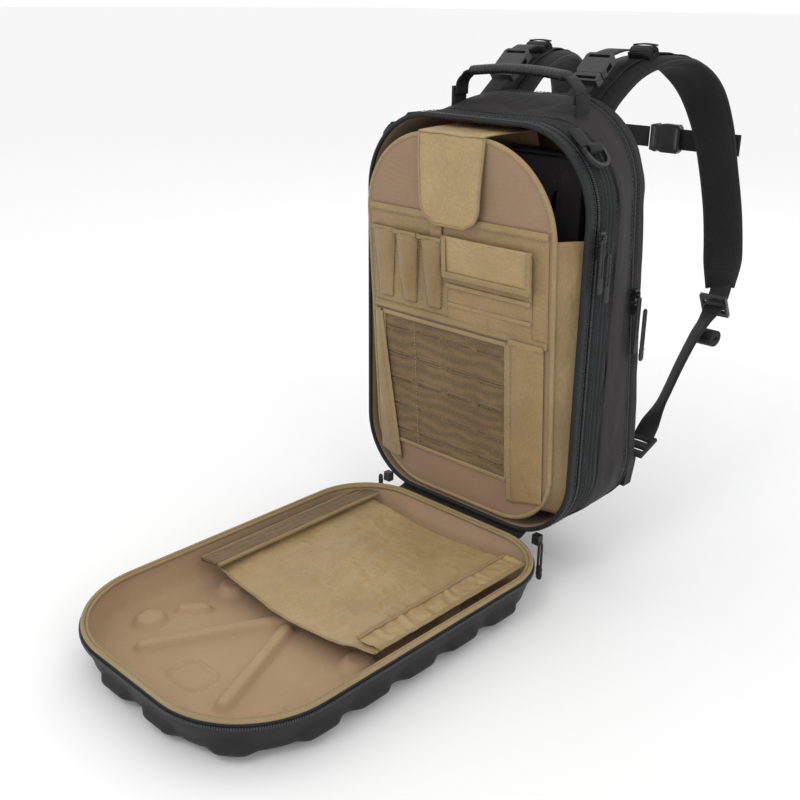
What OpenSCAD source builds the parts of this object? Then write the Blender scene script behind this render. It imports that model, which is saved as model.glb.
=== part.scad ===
// Clamshell trauma backpack, open: a moulded front lid lies flat on the floor and the
// body stands at its hinge, with a bound organiser divider leaning out of the opening.
// +Z is up, +X is across, -Y is towards the lid and +Y towards the shoulder straps.
// The origin is the middle of the lid's resting face.

/* [Body] */
// Width of the body across its opening
pack_w = 300; // [280:1:320]
// Height of the body at its opening
pack_h = 440; // [420:1:460]
// Depth from the opening to the back panel
body_d = 128; // [120:1:140]
// Radius of the opening's top corners
top_r = 88; // [75:1:95]
// Radius of the body's bottom corners
bottom_r = 78; // [65:1:85]
// Width of the back across its shoulders
back_top_w = 264; // [250:1:280]
// How much taller the back is than the opening
back_rise = 18; // [8:1:24]
// Wall thickness of the padded body
wall = 3.5; // [3:0.5:4]

/* [Lid] */
// Depth of the lid from its rim to the floor
lid_d = 52; // [48:1:58]
// Length of the lid from its hinge to its far end
lid_l = 440; // [430:1:450]
// Radius of the lid's far corners
lid_far_r = 100; // [90:1:105]
// Radius of the lid's corners beside the hinge
lid_hinge_r = 76; // [70:1:82]
// How far the lid's side walls lean inwards
lid_draft = 22; // [16:1:26]
// Thickness of the moulded lid
lid_t = 4; // [3:0.5:5]
// Number of moulded lugs along each long side
side_lugs = 5; // [4:1:5]

/* [Divider] */
// Width of the organiser divider
divider_w = 250; // [240:1:254]
// Height of the organiser divider
divider_h = 410; // [400:1:412]
// Forward lean of the divider in degrees
divider_lean = 4; // [2:0.5:5]
// Columns of slots in the slotted panel
slot_columns = 4; // [3:1:4]
// Rows of slots in the slotted panel
slot_rows = 5; // [4:1:6]

/* [Straps] */
// Width of the padded shoulder straps
strap_w = 62; // [56:1:66]
// Thickness of the padded shoulder straps
strap_t = 14; // [12:1:16]
// Width of the narrow webbing
web_w = 25; // [25:1:25]
// Height of the grip above the top panel
grip_rise = 26; // [22:1:32]

/* [Hidden] */
hinge_gap = 4;
hinge_y = lid_l / 2 + hinge_gap;
rim_z = lid_d;
rim_gap = 1;
corner_n = 9;
web_t = 2;
binding = 3;

// Depth stations of the body, from the opening backwards
side_zip_y = 11;
gusset_y = 22;
shell_y = 48;
rear_zip_y = 104;
back_y = 112;
partition_t = 4;
liner_t = 1.5;

pad_t = 10;
divider_t = 4;
divider_y = hinge_y + 5;
divider_z = rim_z + 13;
divider_bottom_r = 68;
divider_top_r = 92;
tongue_w = 86;
tongue_y = hinge_y - 27;
tongue_z = rim_z + pack_h - 15;

grip_y = hinge_y + 75;
grip_z = rim_z + pack_h + 16;
grip_half = 62;
handle_half = 78;

ring_y = hinge_y + 28;
zip_x = pack_w / 2 + 1;
back_top_r = top_r + 6;
side_taper = (pack_w - back_top_w) / 2 / (pack_h + back_rise - bottom_r - back_top_r);

BLACK = "#1d1d1f";
MESH = "#2b2b2d";
TAN = "#a98d57";
FACE = "#94745a";
PLASTIC = "#141414";
STEEL = "#3a3a3c";

// The right strap's centre line, from the yoke over the top and down to its tip
STRAP = [[55, 118, 488], [56, 138, 508], [60, 172, 530], [68, 215, 541], [79, 258, 536],
    [91, 292, 510], [102, 311, 468], [112, 318, 420], [123, 320, 368], [134, 312, 318],
    [143, 296, 284]];
// The webbing from the strap's tip down to the tab at the pack's bottom corner
LOWER_WEB = [[149, 262, 262], [149, 236, 244], [148, 210, 214], [146, 186, 180], [143, 166, 148]];

function unit(v) = v / norm(v);
function arc(c, r, from, to, n = corner_n) =
    [for (i = [0:n]) let (a = from + (to - from) * i / n) [c[0] + r * cos(a), c[1] + r * sin(a)]];

// A rounded outline standing on its base line, its sides drawn in by t all round
function outline(base_w, crown_w, h, base_r, crown_r, t = 0) =
    let (b = base_w / 2 - t, c = crown_w / 2 - t, p = base_r - t, q = crown_r - t)
    concat(arc([b - p, t + p], p, -90, 0), arc([c - q, h - t - q], q, 0, 90),
        arc([q - c, h - t - q], q, 90, 180), arc([p - b, t + p], p, 180, 270));
function front_line(t) = outline(pack_w, pack_w, pack_h, bottom_r, top_r, t);
function back_line(t) = outline(pack_w, back_top_w, pack_h + back_rise, bottom_r, back_top_r, t);
function lid_line(t) =
    [for (p = outline(pack_w, pack_w, lid_l, lid_far_r, lid_hinge_r, t)) p - [0, lid_l / 2]];
function divider_line(t) = outline(divider_w, divider_w, divider_h, divider_bottom_r, divider_top_r, t);
function box_line(w, h, r) = outline(w, w, h, r, r);

function at_y(line, y) = [for (p = line) [p[0], y, p[1] + rim_z]];
function at_z(line, z) = [for (p = line) [p[0], p[1], z]];

// A closed skin through rings that wind right-handed about the way they run
module loft(rings) {
    n = len(rings[0]);
    last = (len(rings) - 1) * n;
    polyhedron(
        points = [for (r = rings) each r],
        faces = concat(
            [[for (i = [0:n - 1]) i]],
            [[for (i = [n - 1:-1:0]) last + i]],
            [for (s = [0:len(rings) - 2]) for (i = [0:n - 1])
                let (a = s * n, b = a + n, j = (i + 1) % n)
                each [[a + i, b + j, a + j], [a + i, b + i, b + j]]]));
}

// An upright slab between two depths, drawn in X and Z
module slab(from, to) {
    translate([0, to, 0]) rotate([90, 0, 0]) linear_extrude(to - from) children();
}

module body_ring(from, to, outer, inner) {
    slab(hinge_y + from, hinge_y + to) translate([0, rim_z]) difference() {
        polygon(front_line(outer));
        polygon(front_line(inner));
    }
}

module front_frame() {
    color(BLACK) {
        body_ring(rim_gap + 4, side_zip_y, 0, wall);
        body_ring(rim_gap, rim_gap + 4, 0, wall);
    }
}

module front_piping() {
    color(TAN) body_ring(rim_gap, rim_gap + 5, wall, wall + binding);
}

// Two tapes with a raised coil between them
module side_zipper() {
    color(PLASTIC) {
        body_ring(side_zip_y, gusset_y, 1, wall);
        body_ring(side_zip_y + 3.5, gusset_y - 3.5, -0.5, 1);
    }
}

// The expansion band: a shallow channel with two folded pleats
module expansion_gusset() {
    color(BLACK) {
        body_ring(gusset_y, shell_y, 2, wall);
        for (y = [gusset_y + 4, gusset_y + 14]) body_ring(y, y + 6, -0.5, 2);
    }
}

// The rear half of the body, swelling from the opening's outline to the back's
module body_shell() {
    color(BLACK) difference() {
        loft([at_y(back_line(0), hinge_y + rear_zip_y), at_y(front_line(0), hinge_y + shell_y)]);
        loft([at_y(back_line(wall), hinge_y + rear_zip_y - partition_t),
            at_y(front_line(wall), hinge_y + shell_y - 0.01)]);
    }
}

module body_liner() {
    color(TAN) difference() {
        loft([at_y(back_line(wall + 0.2), hinge_y + rear_zip_y - partition_t - 0.2),
            at_y(front_line(wall + 0.1), hinge_y + shell_y), at_y(front_line(wall + 0.1), hinge_y + rim_gap + 5)]);
        loft([at_y(back_line(wall + liner_t + 0.2), hinge_y + rear_zip_y - partition_t - liner_t),
            at_y(front_line(wall + liner_t), hinge_y + shell_y), at_y(front_line(wall + liner_t), hinge_y)]);
    }
}

module back_ring(from, to, outer, inner) {
    slab(hinge_y + from, hinge_y + to) translate([0, rim_z]) difference() {
        polygon(back_line(outer));
        polygon(back_line(inner));
    }
}

module rear_zipper() {
    color(PLASTIC) {
        back_ring(rear_zip_y, back_y, 1, wall + 2);
        back_ring(rear_zip_y + 2, back_y - 2, -0.5, 1);
    }
}

// The back half of the rear compartment, with its edge rounded towards the wearer
module back_shell() {
    color(BLACK) difference() {
        loft([at_y(back_line(8), hinge_y + body_d), at_y(back_line(2), hinge_y + body_d - 4),
            at_y(back_line(0), hinge_y + body_d - 9), at_y(back_line(0), hinge_y + back_y)]);
        loft([at_y(back_line(6), hinge_y + body_d - wall), at_y(back_line(wall + 2), hinge_y + back_y - 0.01)]);
    }
}

// A stiff plastic sheet that keeps the back flat
module frame_sheet() {
    color(PLASTIC) slab(hinge_y + body_d - wall - 2.5, hinge_y + body_d - wall - 0.3)
        translate([0, rim_z + 14]) difference() {
            polygon(box_line(pack_w - 60, pack_h - 30, 50));
            for (x = [-1, 1]) for (i = [0:3]) translate([x * 52, 70 + i * 82]) circle(d = 34, $fn = 48);
        }
}

module back_pad(x, z, w, h, r) {
    translate([x, 0, z]) loft([
        [for (p = outline(w, w, h, r, r, 5)) [p[0], hinge_y + body_d + pad_t, p[1]]],
        [for (p = outline(w, w, h, r, r, 1)) [p[0], hinge_y + body_d + pad_t - 3, p[1]]],
        [for (p = outline(w, w, h, r, r)) [p[0], hinge_y + body_d + 0.1, p[1]]]]);
}

// Two spine pads and a lumbar pad, with an air channel between them
module back_pads() {
    color(MESH) {
        for (x = [-58, 58]) back_pad(x, rim_z + 136, 92, 236, 26);
        back_pad(0, rim_z + 28, 216, 90, 34);
    }
}

// The reinforced panel that both shoulder straps are sewn into
module strap_yoke() {
    color(BLACK) slab(hinge_y + body_d + 0.1, hinge_y + body_d + 4) translate([0, rim_z + 388])
        polygon(outline(176, 150, 48, 10, 14));
}

// A padded pouch that hangs clear of the compartment's floor
module padded_sleeve() {
    color(BLACK) difference() {
        slab(hinge_y + 34, hinge_y + 62) translate([0, rim_z + 24]) polygon(box_line(232, 384, 30));
        slab(hinge_y + 39, hinge_y + 57) translate([0, rim_z + 30]) polygon(box_line(218, 400, 22));
    }
}

// Cloth strips that close the sides between the divider and the body
module sleeve_gussets() {
    color(TAN) for (s = [-1, 1]) translate([s * (pack_w / 2 - wall - liner_t - 8.7), 0, 0])
        slab(hinge_y + 8, hinge_y + 10) translate([0, rim_z + 60]) square([16.4, 276]);
}

// The sewn end of the tongue, running forward over the sleeve
module tongue_strap() {
    color(TAN) translate([-tongue_w / 2, 0, 0]) {
        translate([0, tongue_y + 3, tongue_z + 0.6]) cube([tongue_w, 91, 2.4]);
        translate([0, tongue_y + 92, tongue_z - 21]) cube([tongue_w, 2, 22]);
    }
}

// A place on the body's rounded top corner: X runs down the slope and Z out of it
ring_tab_w = 20;
ring_lift = 5.5;
module on_corner(s) {
    mirror([s < 0 ? 1 : 0, 0, 0]) translate([pack_w / 2 - top_r, ring_y, rim_z + pack_h - top_r])
        rotate([0, 45, 0]) translate([0, 0, top_r + 0.5]) children();
}

module ring_barrel(r, length) {
    translate([0, 0, ring_lift]) rotate([90, 0, 0]) cylinder(r = r, h = length, center = true, $fn = 40);
}

// Webbing tabs for the grip's ends and for the D-rings
module top_tabs() {
    color(BLACK) for (s = [-1, 1]) {
        translate([s * (handle_half + 3.8) - 2, grip_y - 11, rim_z + pack_h - 6]) cube([4, 22, 29]);
        on_corner(s) difference() {
            union() {
                translate([-26, -ring_tab_w / 2, 0]) cube([26, ring_tab_w, 4]);
                ring_barrel(5, ring_tab_w);
            }
            ring_barrel(3.3, ring_tab_w + 2);
        }
    }
}

function tangent(path, i) = unit(path[min(i + 1, len(path) - 1)] - path[max(i - 1, 0)]);
function flat_section(w, t, c) = [[-w / 2 + c, -t / 2], [w / 2 - c, -t / 2], [w / 2, -t / 2 + c],
    [w / 2, t / 2 - c], [w / 2 - c, t / 2], [-w / 2 + c, t / 2], [-w / 2, t / 2 - c], [-w / 2, -t / 2 + c]];
function ring_at(path, i, across, section) =
    let (t = tangent(path, i), s = unit(across - (across * t) * t), n = cross(t, s))
    [for (q = section) path[i] + q[0] * s + q[1] * n];

// A point between b and c on a smooth curve through a, b, c and d
function smooth(a, b, c, d, u) = 0.5 * (2 * b + (c - a) * u + (2 * a - 5 * b + 4 * c - d) * u * u
    + (3 * b - a - 3 * c + d) * u * u * u);
function smooth_path(p, k) = [for (i = [0:len(p) - 2]) for (j = [0:k - 1])
    smooth(p[max(i - 1, 0)], p[i], p[i + 1], p[min(i + 2, len(p) - 1)], j / k), p[len(p) - 1]];

// A padded strap that narrows below the shoulder
module shoulder_strap() {
    path = smooth_path(STRAP, 3);
    last = len(path) - 1;
    loft([for (i = [0:last]) let (u = i / last, end = min(1, min(i, last - i) / 2 + 0.45))
        ring_at(path, i, [1, 0.12, 0], flat_section((strap_w - 14 * smoothed(u)) * min(1, end + 0.3),
            strap_t * end, 3.5 * end))]);
}
function smoothed(u) = let (v = min(1, max(0, (u - 0.3) / 0.4))) v * v * (3 - 2 * v);

module shoulder_strap_right() { color(MESH) behind() shoulder_strap(); }
module shoulder_strap_left() { color(MESH) mirror([1, 0, 0]) behind() shoulder_strap(); }

module webbing(path, across = [1, 0, 0], w = web_w) {
    loft([for (i = [0:len(path) - 1]) ring_at(path, i, across, flat_section(w, web_t, 0.6))]);
}
module behind() { translate([0, hinge_y, 0]) children(); }
module both_sides() {
    children();
    mirror([1, 0, 0]) children();
}

// A side-release buckle's socket: mouth at the local origin, facing -Y, webbing bar at its far end
buckle_w = 34;
buckle_l = 28;
buckle_t = 9;
module buckle_socket() {
    difference() {
        translate([0, 0, -buckle_t / 2]) linear_extrude(buckle_t) difference() {
            polygon([[-15, 0], [15, 0], [buckle_w / 2, 4], [buckle_w / 2, buckle_l - 3],
                [buckle_w / 2 - 3, buckle_l], [3 - buckle_w / 2, buckle_l],
                [-buckle_w / 2, buckle_l - 3], [-buckle_w / 2, 4]]);
            translate([-13, buckle_l - 7]) square([26, 4]);
        }
        translate([-13.2, -1, -2.8]) cube([26.4, 19, 5.6]);
        for (x = [-18, 11]) translate([x, 6, -2.8]) cube([7, 10, 5.6]);
    }
}

// The matching latch: two sprung arms with barbed tips, a guide and a webbing bar
module buckle_latch() {
    translate([0, 0, -buckle_t / 2]) linear_extrude(buckle_t) difference() {
        polygon([[-14, -0.4], [14, -0.4], [buckle_w / 2, -4], [buckle_w / 2 - 2, -12],
            [2 - buckle_w / 2, -12], [-buckle_w / 2, -4]]);
        translate([-13, -9.5]) square([26, 4]);
    }
    translate([0, 0, -2.2]) linear_extrude(4.4) {
        for (s = [-1, 1]) polygon([[s * 8, -0.5], [s * 12, -0.5], [s * 12, 6.6], [s * 15.4, 7],
            [s * 12.4, 15.5], [s * 9.5, 15.5], [s * 8, 10]]);
        translate([-1.5, -0.5]) square([3, 15]);
    }
}

// Load lifters: webbing from the top panel, up through a buckle to the strap's crest
lifter_tilt = 41;
module lifter_place() {
    translate([55, hinge_y + 124, rim_z + pack_h + 38]) rotate([lifter_tilt, 0, 0]) children();
}
module lifter_webbing() {
    color(BLACK) both_sides() {
        webbing([[55, hinge_y + 84, rim_z + pack_h + 6], [55, hinge_y + 92, rim_z + pack_h + 11],
            [55, hinge_y + 114, rim_z + pack_h + 28]]);
        webbing([[56, hinge_y + 146, rim_z + pack_h + 58], [60, hinge_y + 164, rim_z + pack_h + 62],
            [66, hinge_y + 186, rim_z + pack_h + 61]]);
        translate([70, hinge_y + 200, rim_z + pack_h + 62]) rotate([8, 0, 0])
            linear_extrude(10, center = true) polygon(at_centre(box_line(web_w + 4, 34, 5), 17));
    }
}
function at_centre(line, drop) = [for (p = line) p - [0, drop]];
module lifter_buckles() { color(PLASTIC) both_sides() lifter_place() buckle_socket(); }
module lifter_latches() { color(PLASTIC) both_sides() lifter_place() buckle_latch(); }

// A tilting ladder-lock at each strap's tip, with two windows and three bars
module ladder_lock() {
    translate([148, 284, 272]) rotate([122, 0, 4]) translate([0, 0, -2.5]) linear_extrude(5) difference() {
        translate([-16, -15]) square([32, 30]);
        for (y = [-9.5, 2.5]) translate([-13, y]) square([26, 6]);
    }
}
module ladder_locks() { color(PLASTIC) both_sides() behind() translate([0, -6, -2]) ladder_lock(); }

module lower_webbing() {
    color(BLACK) both_sides() {
        behind() webbing(smooth_path(LOWER_WEB, 3), [1, 0.1, 0]);
        behind() translate([150, 262, 236]) rotate([0, 90, 0]) difference() {
            linear_extrude(web_w, center = true) polygon(at_centre(box_line(26, 18, 6), 9));
            cylinder(r = 2, h = web_w + 2, center = true, $fn = 24);
        }
    }
}

// The sewn triangle at the bottom corner that holds the lower webbing's buckle
module lower_tabs() {
    color(BLACK) both_sides() translate([pack_w / 2 - 12, 0, 0]) {
        slab(hinge_y + body_d - 10, hinge_y + body_d - 10 + 14) translate([0, 88])
            polygon([[0, 0], [6, 0], [10, 30], [10, 36], [0, 40]]);
        translate([4, hinge_y + body_d + 3, 122]) rotate([20, 0, 0]) translate([0, 0, 2])
            linear_extrude(4) difference() {
                translate([-13, -2]) square([28, 34]);
                for (y = [6, 20]) translate([-10, y]) square([22, 5]);
            }
    }
}

slider_d = 8;
module zip_slider() {
    translate([0, -slider_d / 2, -6]) cube([4.4, slider_d, 12]);
    translate([4.4, -1, -3.5]) difference() {
        cube([3.5, 2, 7]);
        translate([1.9, -1, 3.5]) rotate([-90, 0, 0]) cylinder(r = 1.1, h = 4, $fn = 24);
    }
}

// A cord loop with a moulded grip, hanging from the slider's bail
module zip_pull(l = 46) {
    rotate([0, 90, 0]) translate([0, 0, -1]) {
        linear_extrude(2) difference() {
            translate([-1, -3.5]) square([l - 14, 7]);
            translate([1.5, -1.7]) square([l - 19, 3.4]);
        }
        translate([l - 16, -4.5, -1.2]) linear_extrude(4.4)
            polygon([[0, 1], [3, 0], [15, 1], [17, 3], [17, 6], [15, 8], [3, 9], [0, 8]]);
    }
}

side_zip_mid = hinge_y + (side_zip_y + gusset_y) / 2;
module at_side_zip(z) { translate([zip_x, side_zip_mid, z]) children(); }
module side_slider_upper() { color(STEEL) at_side_zip(rim_z + 338) zip_slider(); }
module side_slider_lower() { color(STEEL) at_side_zip(rim_z + 323) zip_slider(); }
module side_pull_upper() { color(BLACK) at_side_zip(rim_z + 338) translate([8.8, -6.2, -1]) zip_pull(52); }
module side_pull_lower() { color(BLACK) at_side_zip(rim_z + 323) translate([8.8, 6.2, -1]) zip_pull(48); }

rear_zip_mid = hinge_y + (rear_zip_y + back_y) / 2;
function rear_zip_x(z) = zip_x - side_taper * (z - rim_z - bottom_r);
module at_rear_zip(z) { translate([rear_zip_x(z) + 0.5, rear_zip_mid, z]) rotate([0, -atan(side_taper), 0]) children(); }
module rear_slider_upper() { color(STEEL) at_rear_zip(rim_z + 262) zip_slider(); }
module rear_slider_lower() { color(STEEL) at_rear_zip(rim_z + 247) zip_slider(); }
module rear_pull_upper() { color(BLACK) at_rear_zip(rim_z + 262) translate([8.8, -6.2, -1]) zip_pull(60); }
module rear_pull_lower() { color(BLACK) at_rear_zip(rim_z + 247) translate([8.8, 6.2, -1]) zip_pull(56); }

// The lid zipper's sliders rest at the two ends of its track, beside the hinge
lid_slider_x = 116;
module lid_sliders() {
    color(STEEL) both_sides() translate([lid_slider_x - 7, hinge_y - 4.5, rim_z - 3]) cube([9, 8, 11]);
}
module lid_pull() { translate([lid_slider_x + 6, hinge_y - 5.5, rim_z + 3]) rotate([0, 0, 90]) zip_pull(44); }
module lid_pull_right() { color(BLACK) lid_pull(); }
module lid_pull_left() { color(BLACK) mirror([1, 0, 0]) lid_pull(); }

// Sternum strap, buckled between the shoulder straps
sternum_y = hinge_y + 337;
sternum_z = 446;
sternum_x = 26;
sternum_half = 106;
module sternum_webbing() {
    color(BLACK) difference() {
        translate([-sternum_half - 20, sternum_y - 1, sternum_z - web_w / 2])
            cube([2 * sternum_half + 40, web_t, web_w]);
        translate([sternum_x - 21, sternum_y - 5, sternum_z - 20]) cube([44, 10, 40]);
    }
}
module at_sternum_buckle() {
    translate([sternum_x - 5, sternum_y, sternum_z]) rotate([90, 0, 0]) rotate([0, 0, -90]) children();
}
module sternum_buckle() { color(PLASTIC) at_sternum_buckle() buckle_socket(); }
module sternum_latch() { color(PLASTIC) at_sternum_buckle() buckle_latch(); }
module sternum_sliders() {
    color(PLASTIC) for (x = [-sternum_half, sternum_half]) translate([x, sternum_y, sternum_z])
        rotate([90, 0, 0]) linear_extrude(6, center = true) difference() {
            translate([-9, -17]) square([18, 34]);
            translate([-5, -13.2]) square([10, 26.4]);
        }
}

// The moulded lid: a drafted tray with lugs round its wall and a ribbed resting panel
module lid_rings(outer, inner_floor, floor_z, top_z) {
    loft([at_z(lid_line(outer + inner_floor), floor_z),
        at_z(lid_line(outer + 8 * inner_floor / lid_draft), floor_z + 14),
        at_z(lid_line(outer), top_z)]);
}
module lug(w = 44, d = 30, top = 31) {
    translate([0, 0, 3]) linear_extrude(top - 3) lug_line(w, d);
    rotate([180, 0, 0]) translate([0, 0, -3]) linear_extrude(3, scale = [0.9, 0.86]) lug_line(w, d);
}
module lug_line(w, d) {
    polygon(at_centre(box_line(w, d, 7), d / 2));
}
lug_x = pack_w / 2 - 24;
module lid_shell() {
    rest_w = 124;
    rest_l = 236;
    color(BLACK) difference() {
        union() {
            lid_rings(0, lid_draft, 6, lid_d - 5);
            for (s = [-1, 1]) {
                for (i = [0:side_lugs - 1]) translate([s * lug_x, 130 - i * 62, 0]) rotate([0, 0, s * 90]) lug();
                translate([s * 88, 23 - lid_l / 2 + 26, 0]) rotate([0, 0, s * 45]) lug(52);
                translate([s * 32, 26 - lid_l / 2, 0]) lug(48);
                translate([s * 44, lid_l / 2 - 26, 0]) lug(64);
            }
            linear_extrude(7) difference() {
                polygon(at_centre(box_line(rest_w, rest_l, 26), rest_l / 2));
                for (s = [-1, 1]) translate([s * 34, 0])
                    polygon(at_centre(box_line(9, rest_l - 60, 4), rest_l / 2 - 30));
            }
        }
        lid_rings(lid_t, lid_draft, 6 + lid_t, lid_d);
    }
}

// The liner follows the tray inside, with raised ribs, bosses and a plain framed panel
module lid_rib(from, to, w, h) {
    d = to - from;
    translate([from[0], from[1], 6 + lid_t + liner_t]) rotate([0, 0, atan2(d[1], d[0])])
        translate([norm(d) / 2, 0, -0.5]) linear_extrude(h + 0.5)
            polygon(at_centre(box_line(w, norm(d), w * 0.45), norm(d) / 2) * [[0, 1], [-1, 0]]);
}
module lid_liner() {
    color(FACE) {
        difference() {
            intersection() {
                lid_rings(lid_t + 0.3, lid_draft, 6 + lid_t + 0.3, lid_d);
                translate([-pack_w / 2, -lid_l / 2, 0]) cube([pack_w, lid_l, lid_d - 5]);
            }
            lid_rings(lid_t + liner_t, lid_draft, 6 + lid_t + liner_t, lid_d);
        }
        lid_rib([-84, -158], [0, -18], 12, 6);
        lid_rib([48, -140], [6, -44], 12, 6);
        lid_rib([0, 6], [0, 150], 12, 6);
        for (s = [-1, 1]) {
            for (y = [-150, -30, 95]) translate([s * 96, y, 6 + lid_t + 1]) {
                cylinder(r1 = 17, r2 = 14, h = 6, $fn = 48);
                translate([0, 0, 6]) cylinder(r1 = 14, r2 = 10, h = 2, $fn = 48);
            }
        }
        translate([-8, -140, 6 + lid_t + 1]) linear_extrude(3) difference() {
            polygon(at_centre(box_line(54, 34, 8), 17));
            polygon(at_centre(box_line(46, 26, 5), 13));
        }
    }
}

module lid_ring(from, to, outer, inner) {
    translate([0, 0, from]) linear_extrude(to - from) difference() {
        polygon(lid_line(outer));
        polygon(lid_line(inner));
    }
}
module lid_piping() {
    color(TAN) lid_ring(lid_d - 5, lid_d - rim_gap, 0.5, 7);
}
module lid_zipper() {
    color(PLASTIC) lid_ring(lid_d - 12, lid_d - 6, -2, 0.2);
}

// The nylon pocket sags between the lid's long sides and is open towards the far end
pocket_half = 126;
pocket_from = -34;
pocket_to = lid_l / 2 - 26;
pocket_z = lid_d - 9;
pocket_sag = 13;
function sag(x) = pocket_z - pocket_sag * (1 - (x / pocket_half) * (x / pocket_half));
module lid_pocket() {
    xs = [for (i = [0:16]) -pocket_half + i * pocket_half / 8];
    color(TAN) {
        translate([0, pocket_to, 0]) rotate([90, 0, 0]) linear_extrude(pocket_to - pocket_from)
            polygon(concat([for (x = xs) [x, sag(x) - 2]], [for (i = [16:-1:0]) [xs[i], sag(xs[i])]]));
        for (i = [0:7]) translate([104, pocket_from + 6 + i * 27, sag(104) - 1]) cube([22, 13, 3.5]);
    }
}
module lid_hook_strip() {
    color(TAN) translate([-pocket_half - 4, pocket_from - 8, pocket_z + 0.1]) cube([28, pocket_to - pocket_from, 3]);
}

// The folded cloth that the lid turns on
module hinge_strip() {
    color(BLACK) translate([-62, hinge_y, rim_z]) rotate([0, 90, 0]) cylinder(r = 0.8, h = 124, $fn = 24);
}

// The divider stands in its own frame: X across, Z up its face and -Y out of its front
module lean() {
    translate([0, divider_y, divider_z]) rotate([divider_lean, 0, 0]) children();
}
module face_slab(from, to) { slab(-divider_t - to, -divider_t - from) children(); }
module divider_board() {
    color(FACE) lean() slab(-divider_t, 0) polygon(divider_line(0.1));
}
module divider_binding() {
    color(TAN) lean() slab(-divider_t - 1, 1) difference() {
        polygon(divider_line(-2));
        polygon(divider_line(0));
    }
}

band_top = 330;
band_low = 212;
panel_half = divider_w / 2 - 4;
module organiser_panel() {
    color(TAN) lean() {
        face_slab(0, 1.5) translate([-panel_half, band_low]) square([2 * panel_half, band_top - band_low]);
        face_slab(1.6, 3) translate([-32, band_top - 24]) square([18, 40]);
    }
}
module pen_sleeves() {
    color(TAN) lean() for (i = [0:2]) face_slab(1.6, 6 - i * 0.8) translate([-102 + i * 36, 228])
        polygon([[-10, 0], [10, 0], [17, 74], [17, 78], [-17, 78], [-17, 74]]);
}

// A flat pocket with a flap over it and two shallow pockets below
pouch_x = -10;
pouch_w = 112;
module flap_pocket() {
    color(TAN) lean() {
        face_slab(1.6, 6) translate([pouch_x, 258]) square([pouch_w, 46]);
        face_slab(1.6, 5) translate([pouch_x, 236]) square([pouch_w, 21]);
        face_slab(1.6, 4) translate([pouch_x, 213]) square([pouch_w, 22]);
    }
}
module pocket_flap() {
    color(TAN) lean() {
        face_slab(6.4, 8.4) translate([pouch_x - 2, 266]) square([pouch_w + 4, 44]);
    }
}

// Loop-faced panel with rows of slots that accept webbing clips
module slot_panel() {
    panel_w = 178;
    panel_low = 48;
    panel_h = 158;
    pitch_x = panel_w / slot_columns;
    pitch_z = panel_h / slot_rows;
    color(TAN) lean() face_slab(0, 2.2) difference() {
        translate([-108, panel_low]) square([panel_w, panel_h]);
        for (c = [0:slot_columns - 1]) for (r = [0:slot_rows - 1])
            translate([-108 + (c + 0.5) * pitch_x, panel_low + (r + 0.5) * pitch_z])
                polygon(at_centre(box_line(30, 3, 1.4), 1.5));
    }
}
module tool_pocket() {
    color(TAN) lean() {
        face_slab(2.3, 6) translate([74, 22]) polygon([[0, 0], [34, 0], [44, 14], [44, 190], [0, 190]]);
    }
}
module slant_pocket() {
    color(TAN) lean() face_slab(2.3, 6) polygon([[-panel_half, 30], [-92, 22], [-88, 30], [-112, 206], [-panel_half, 208]]);
}

module tongue_flap() {
    color(TAN) slab(tongue_y - 4.4, tongue_y - 2) translate([0, tongue_z - 92]) {
        polygon(outline(tongue_w, tongue_w - 4, 92, 16, 2));
    }
}

module handle_webbing() {
    path = [[-handle_half, 0, 0], [-handle_half + 1, 0, 12], [-handle_half + 7, 0, grip_rise - 7],
        [-grip_half - 2, 0, grip_rise], [0, 0, grip_rise + 4], [grip_half + 2, 0, grip_rise],
        [handle_half - 7, 0, grip_rise - 7], [handle_half - 1, 0, 12], [handle_half, 0, 0]];
    color(BLACK) translate([0, grip_y, grip_z - 3]) webbing(smooth_path(path, 2), [0, 1, 0], 20);
}
module grip_core(length, out) {
    rotate([90, 0, 90]) linear_extrude(length, center = true)
        polygon(at_centre(box_line(28 + 2 * out, 13 + 2 * out, 5 + out), 6.5 + out));
}
module handle_grip() {
    color(PLASTIC) translate([0, grip_y, grip_z + grip_rise - 1]) difference() {
        union() {
            grip_core(2 * grip_half - 8, 0);
            for (i = [0:15]) translate([(i - 7.5) * 7.2, 0, 0]) grip_core(3.6, 1);
        }
        translate([-grip_half, -10.4, -3.2]) cube([2 * grip_half, 20.8, 6.4]);
    }
}

// A D-shaped ring whose straight bar turns in its tab
module d_ring() {
    translate([0, 0, ring_lift - 2]) linear_extrude(4) difference() {
        union() {
            translate([6, 0]) circle(r = 16, $fn = 48);
            translate([-2, -16]) square([8, 32]);
        }
        translate([6, 0]) circle(r = 12.4, $fn = 48);
        translate([2, -12.4]) square([4, 24.8]);
        translate([-12, -17]) square([10, 34]);
    }
}
module d_ring_right() { color(STEEL) on_corner(1) d_ring(); }
module d_ring_left() { color(STEEL) on_corner(-1) d_ring(); }

front_frame();
front_piping();
side_zipper();
expansion_gusset();
body_shell();
body_liner();
rear_zipper();
back_shell();
frame_sheet();
back_pads();
strap_yoke();
padded_sleeve();
sleeve_gussets();
tongue_strap();
top_tabs();
shoulder_strap_right();
shoulder_strap_left();
lifter_webbing();
lifter_buckles();
lifter_latches();
ladder_locks();
lower_webbing();
lower_tabs();
lid_sliders();
sternum_webbing();
sternum_buckle();
sternum_latch();
sternum_sliders();
lid_shell();
lid_liner();
lid_piping();
lid_zipper();
lid_pocket();
lid_hook_strip();
hinge_strip();
divider_board();
divider_binding();
organiser_panel();
pen_sleeves();
flap_pocket();
slot_panel();
tool_pocket();
slant_pocket();
pocket_flap();
tongue_flap();
handle_webbing();
handle_grip();
d_ring_right();
d_ring_left();
side_slider_upper();
side_slider_lower();
side_pull_upper();
side_pull_lower();
rear_slider_upper();
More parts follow.
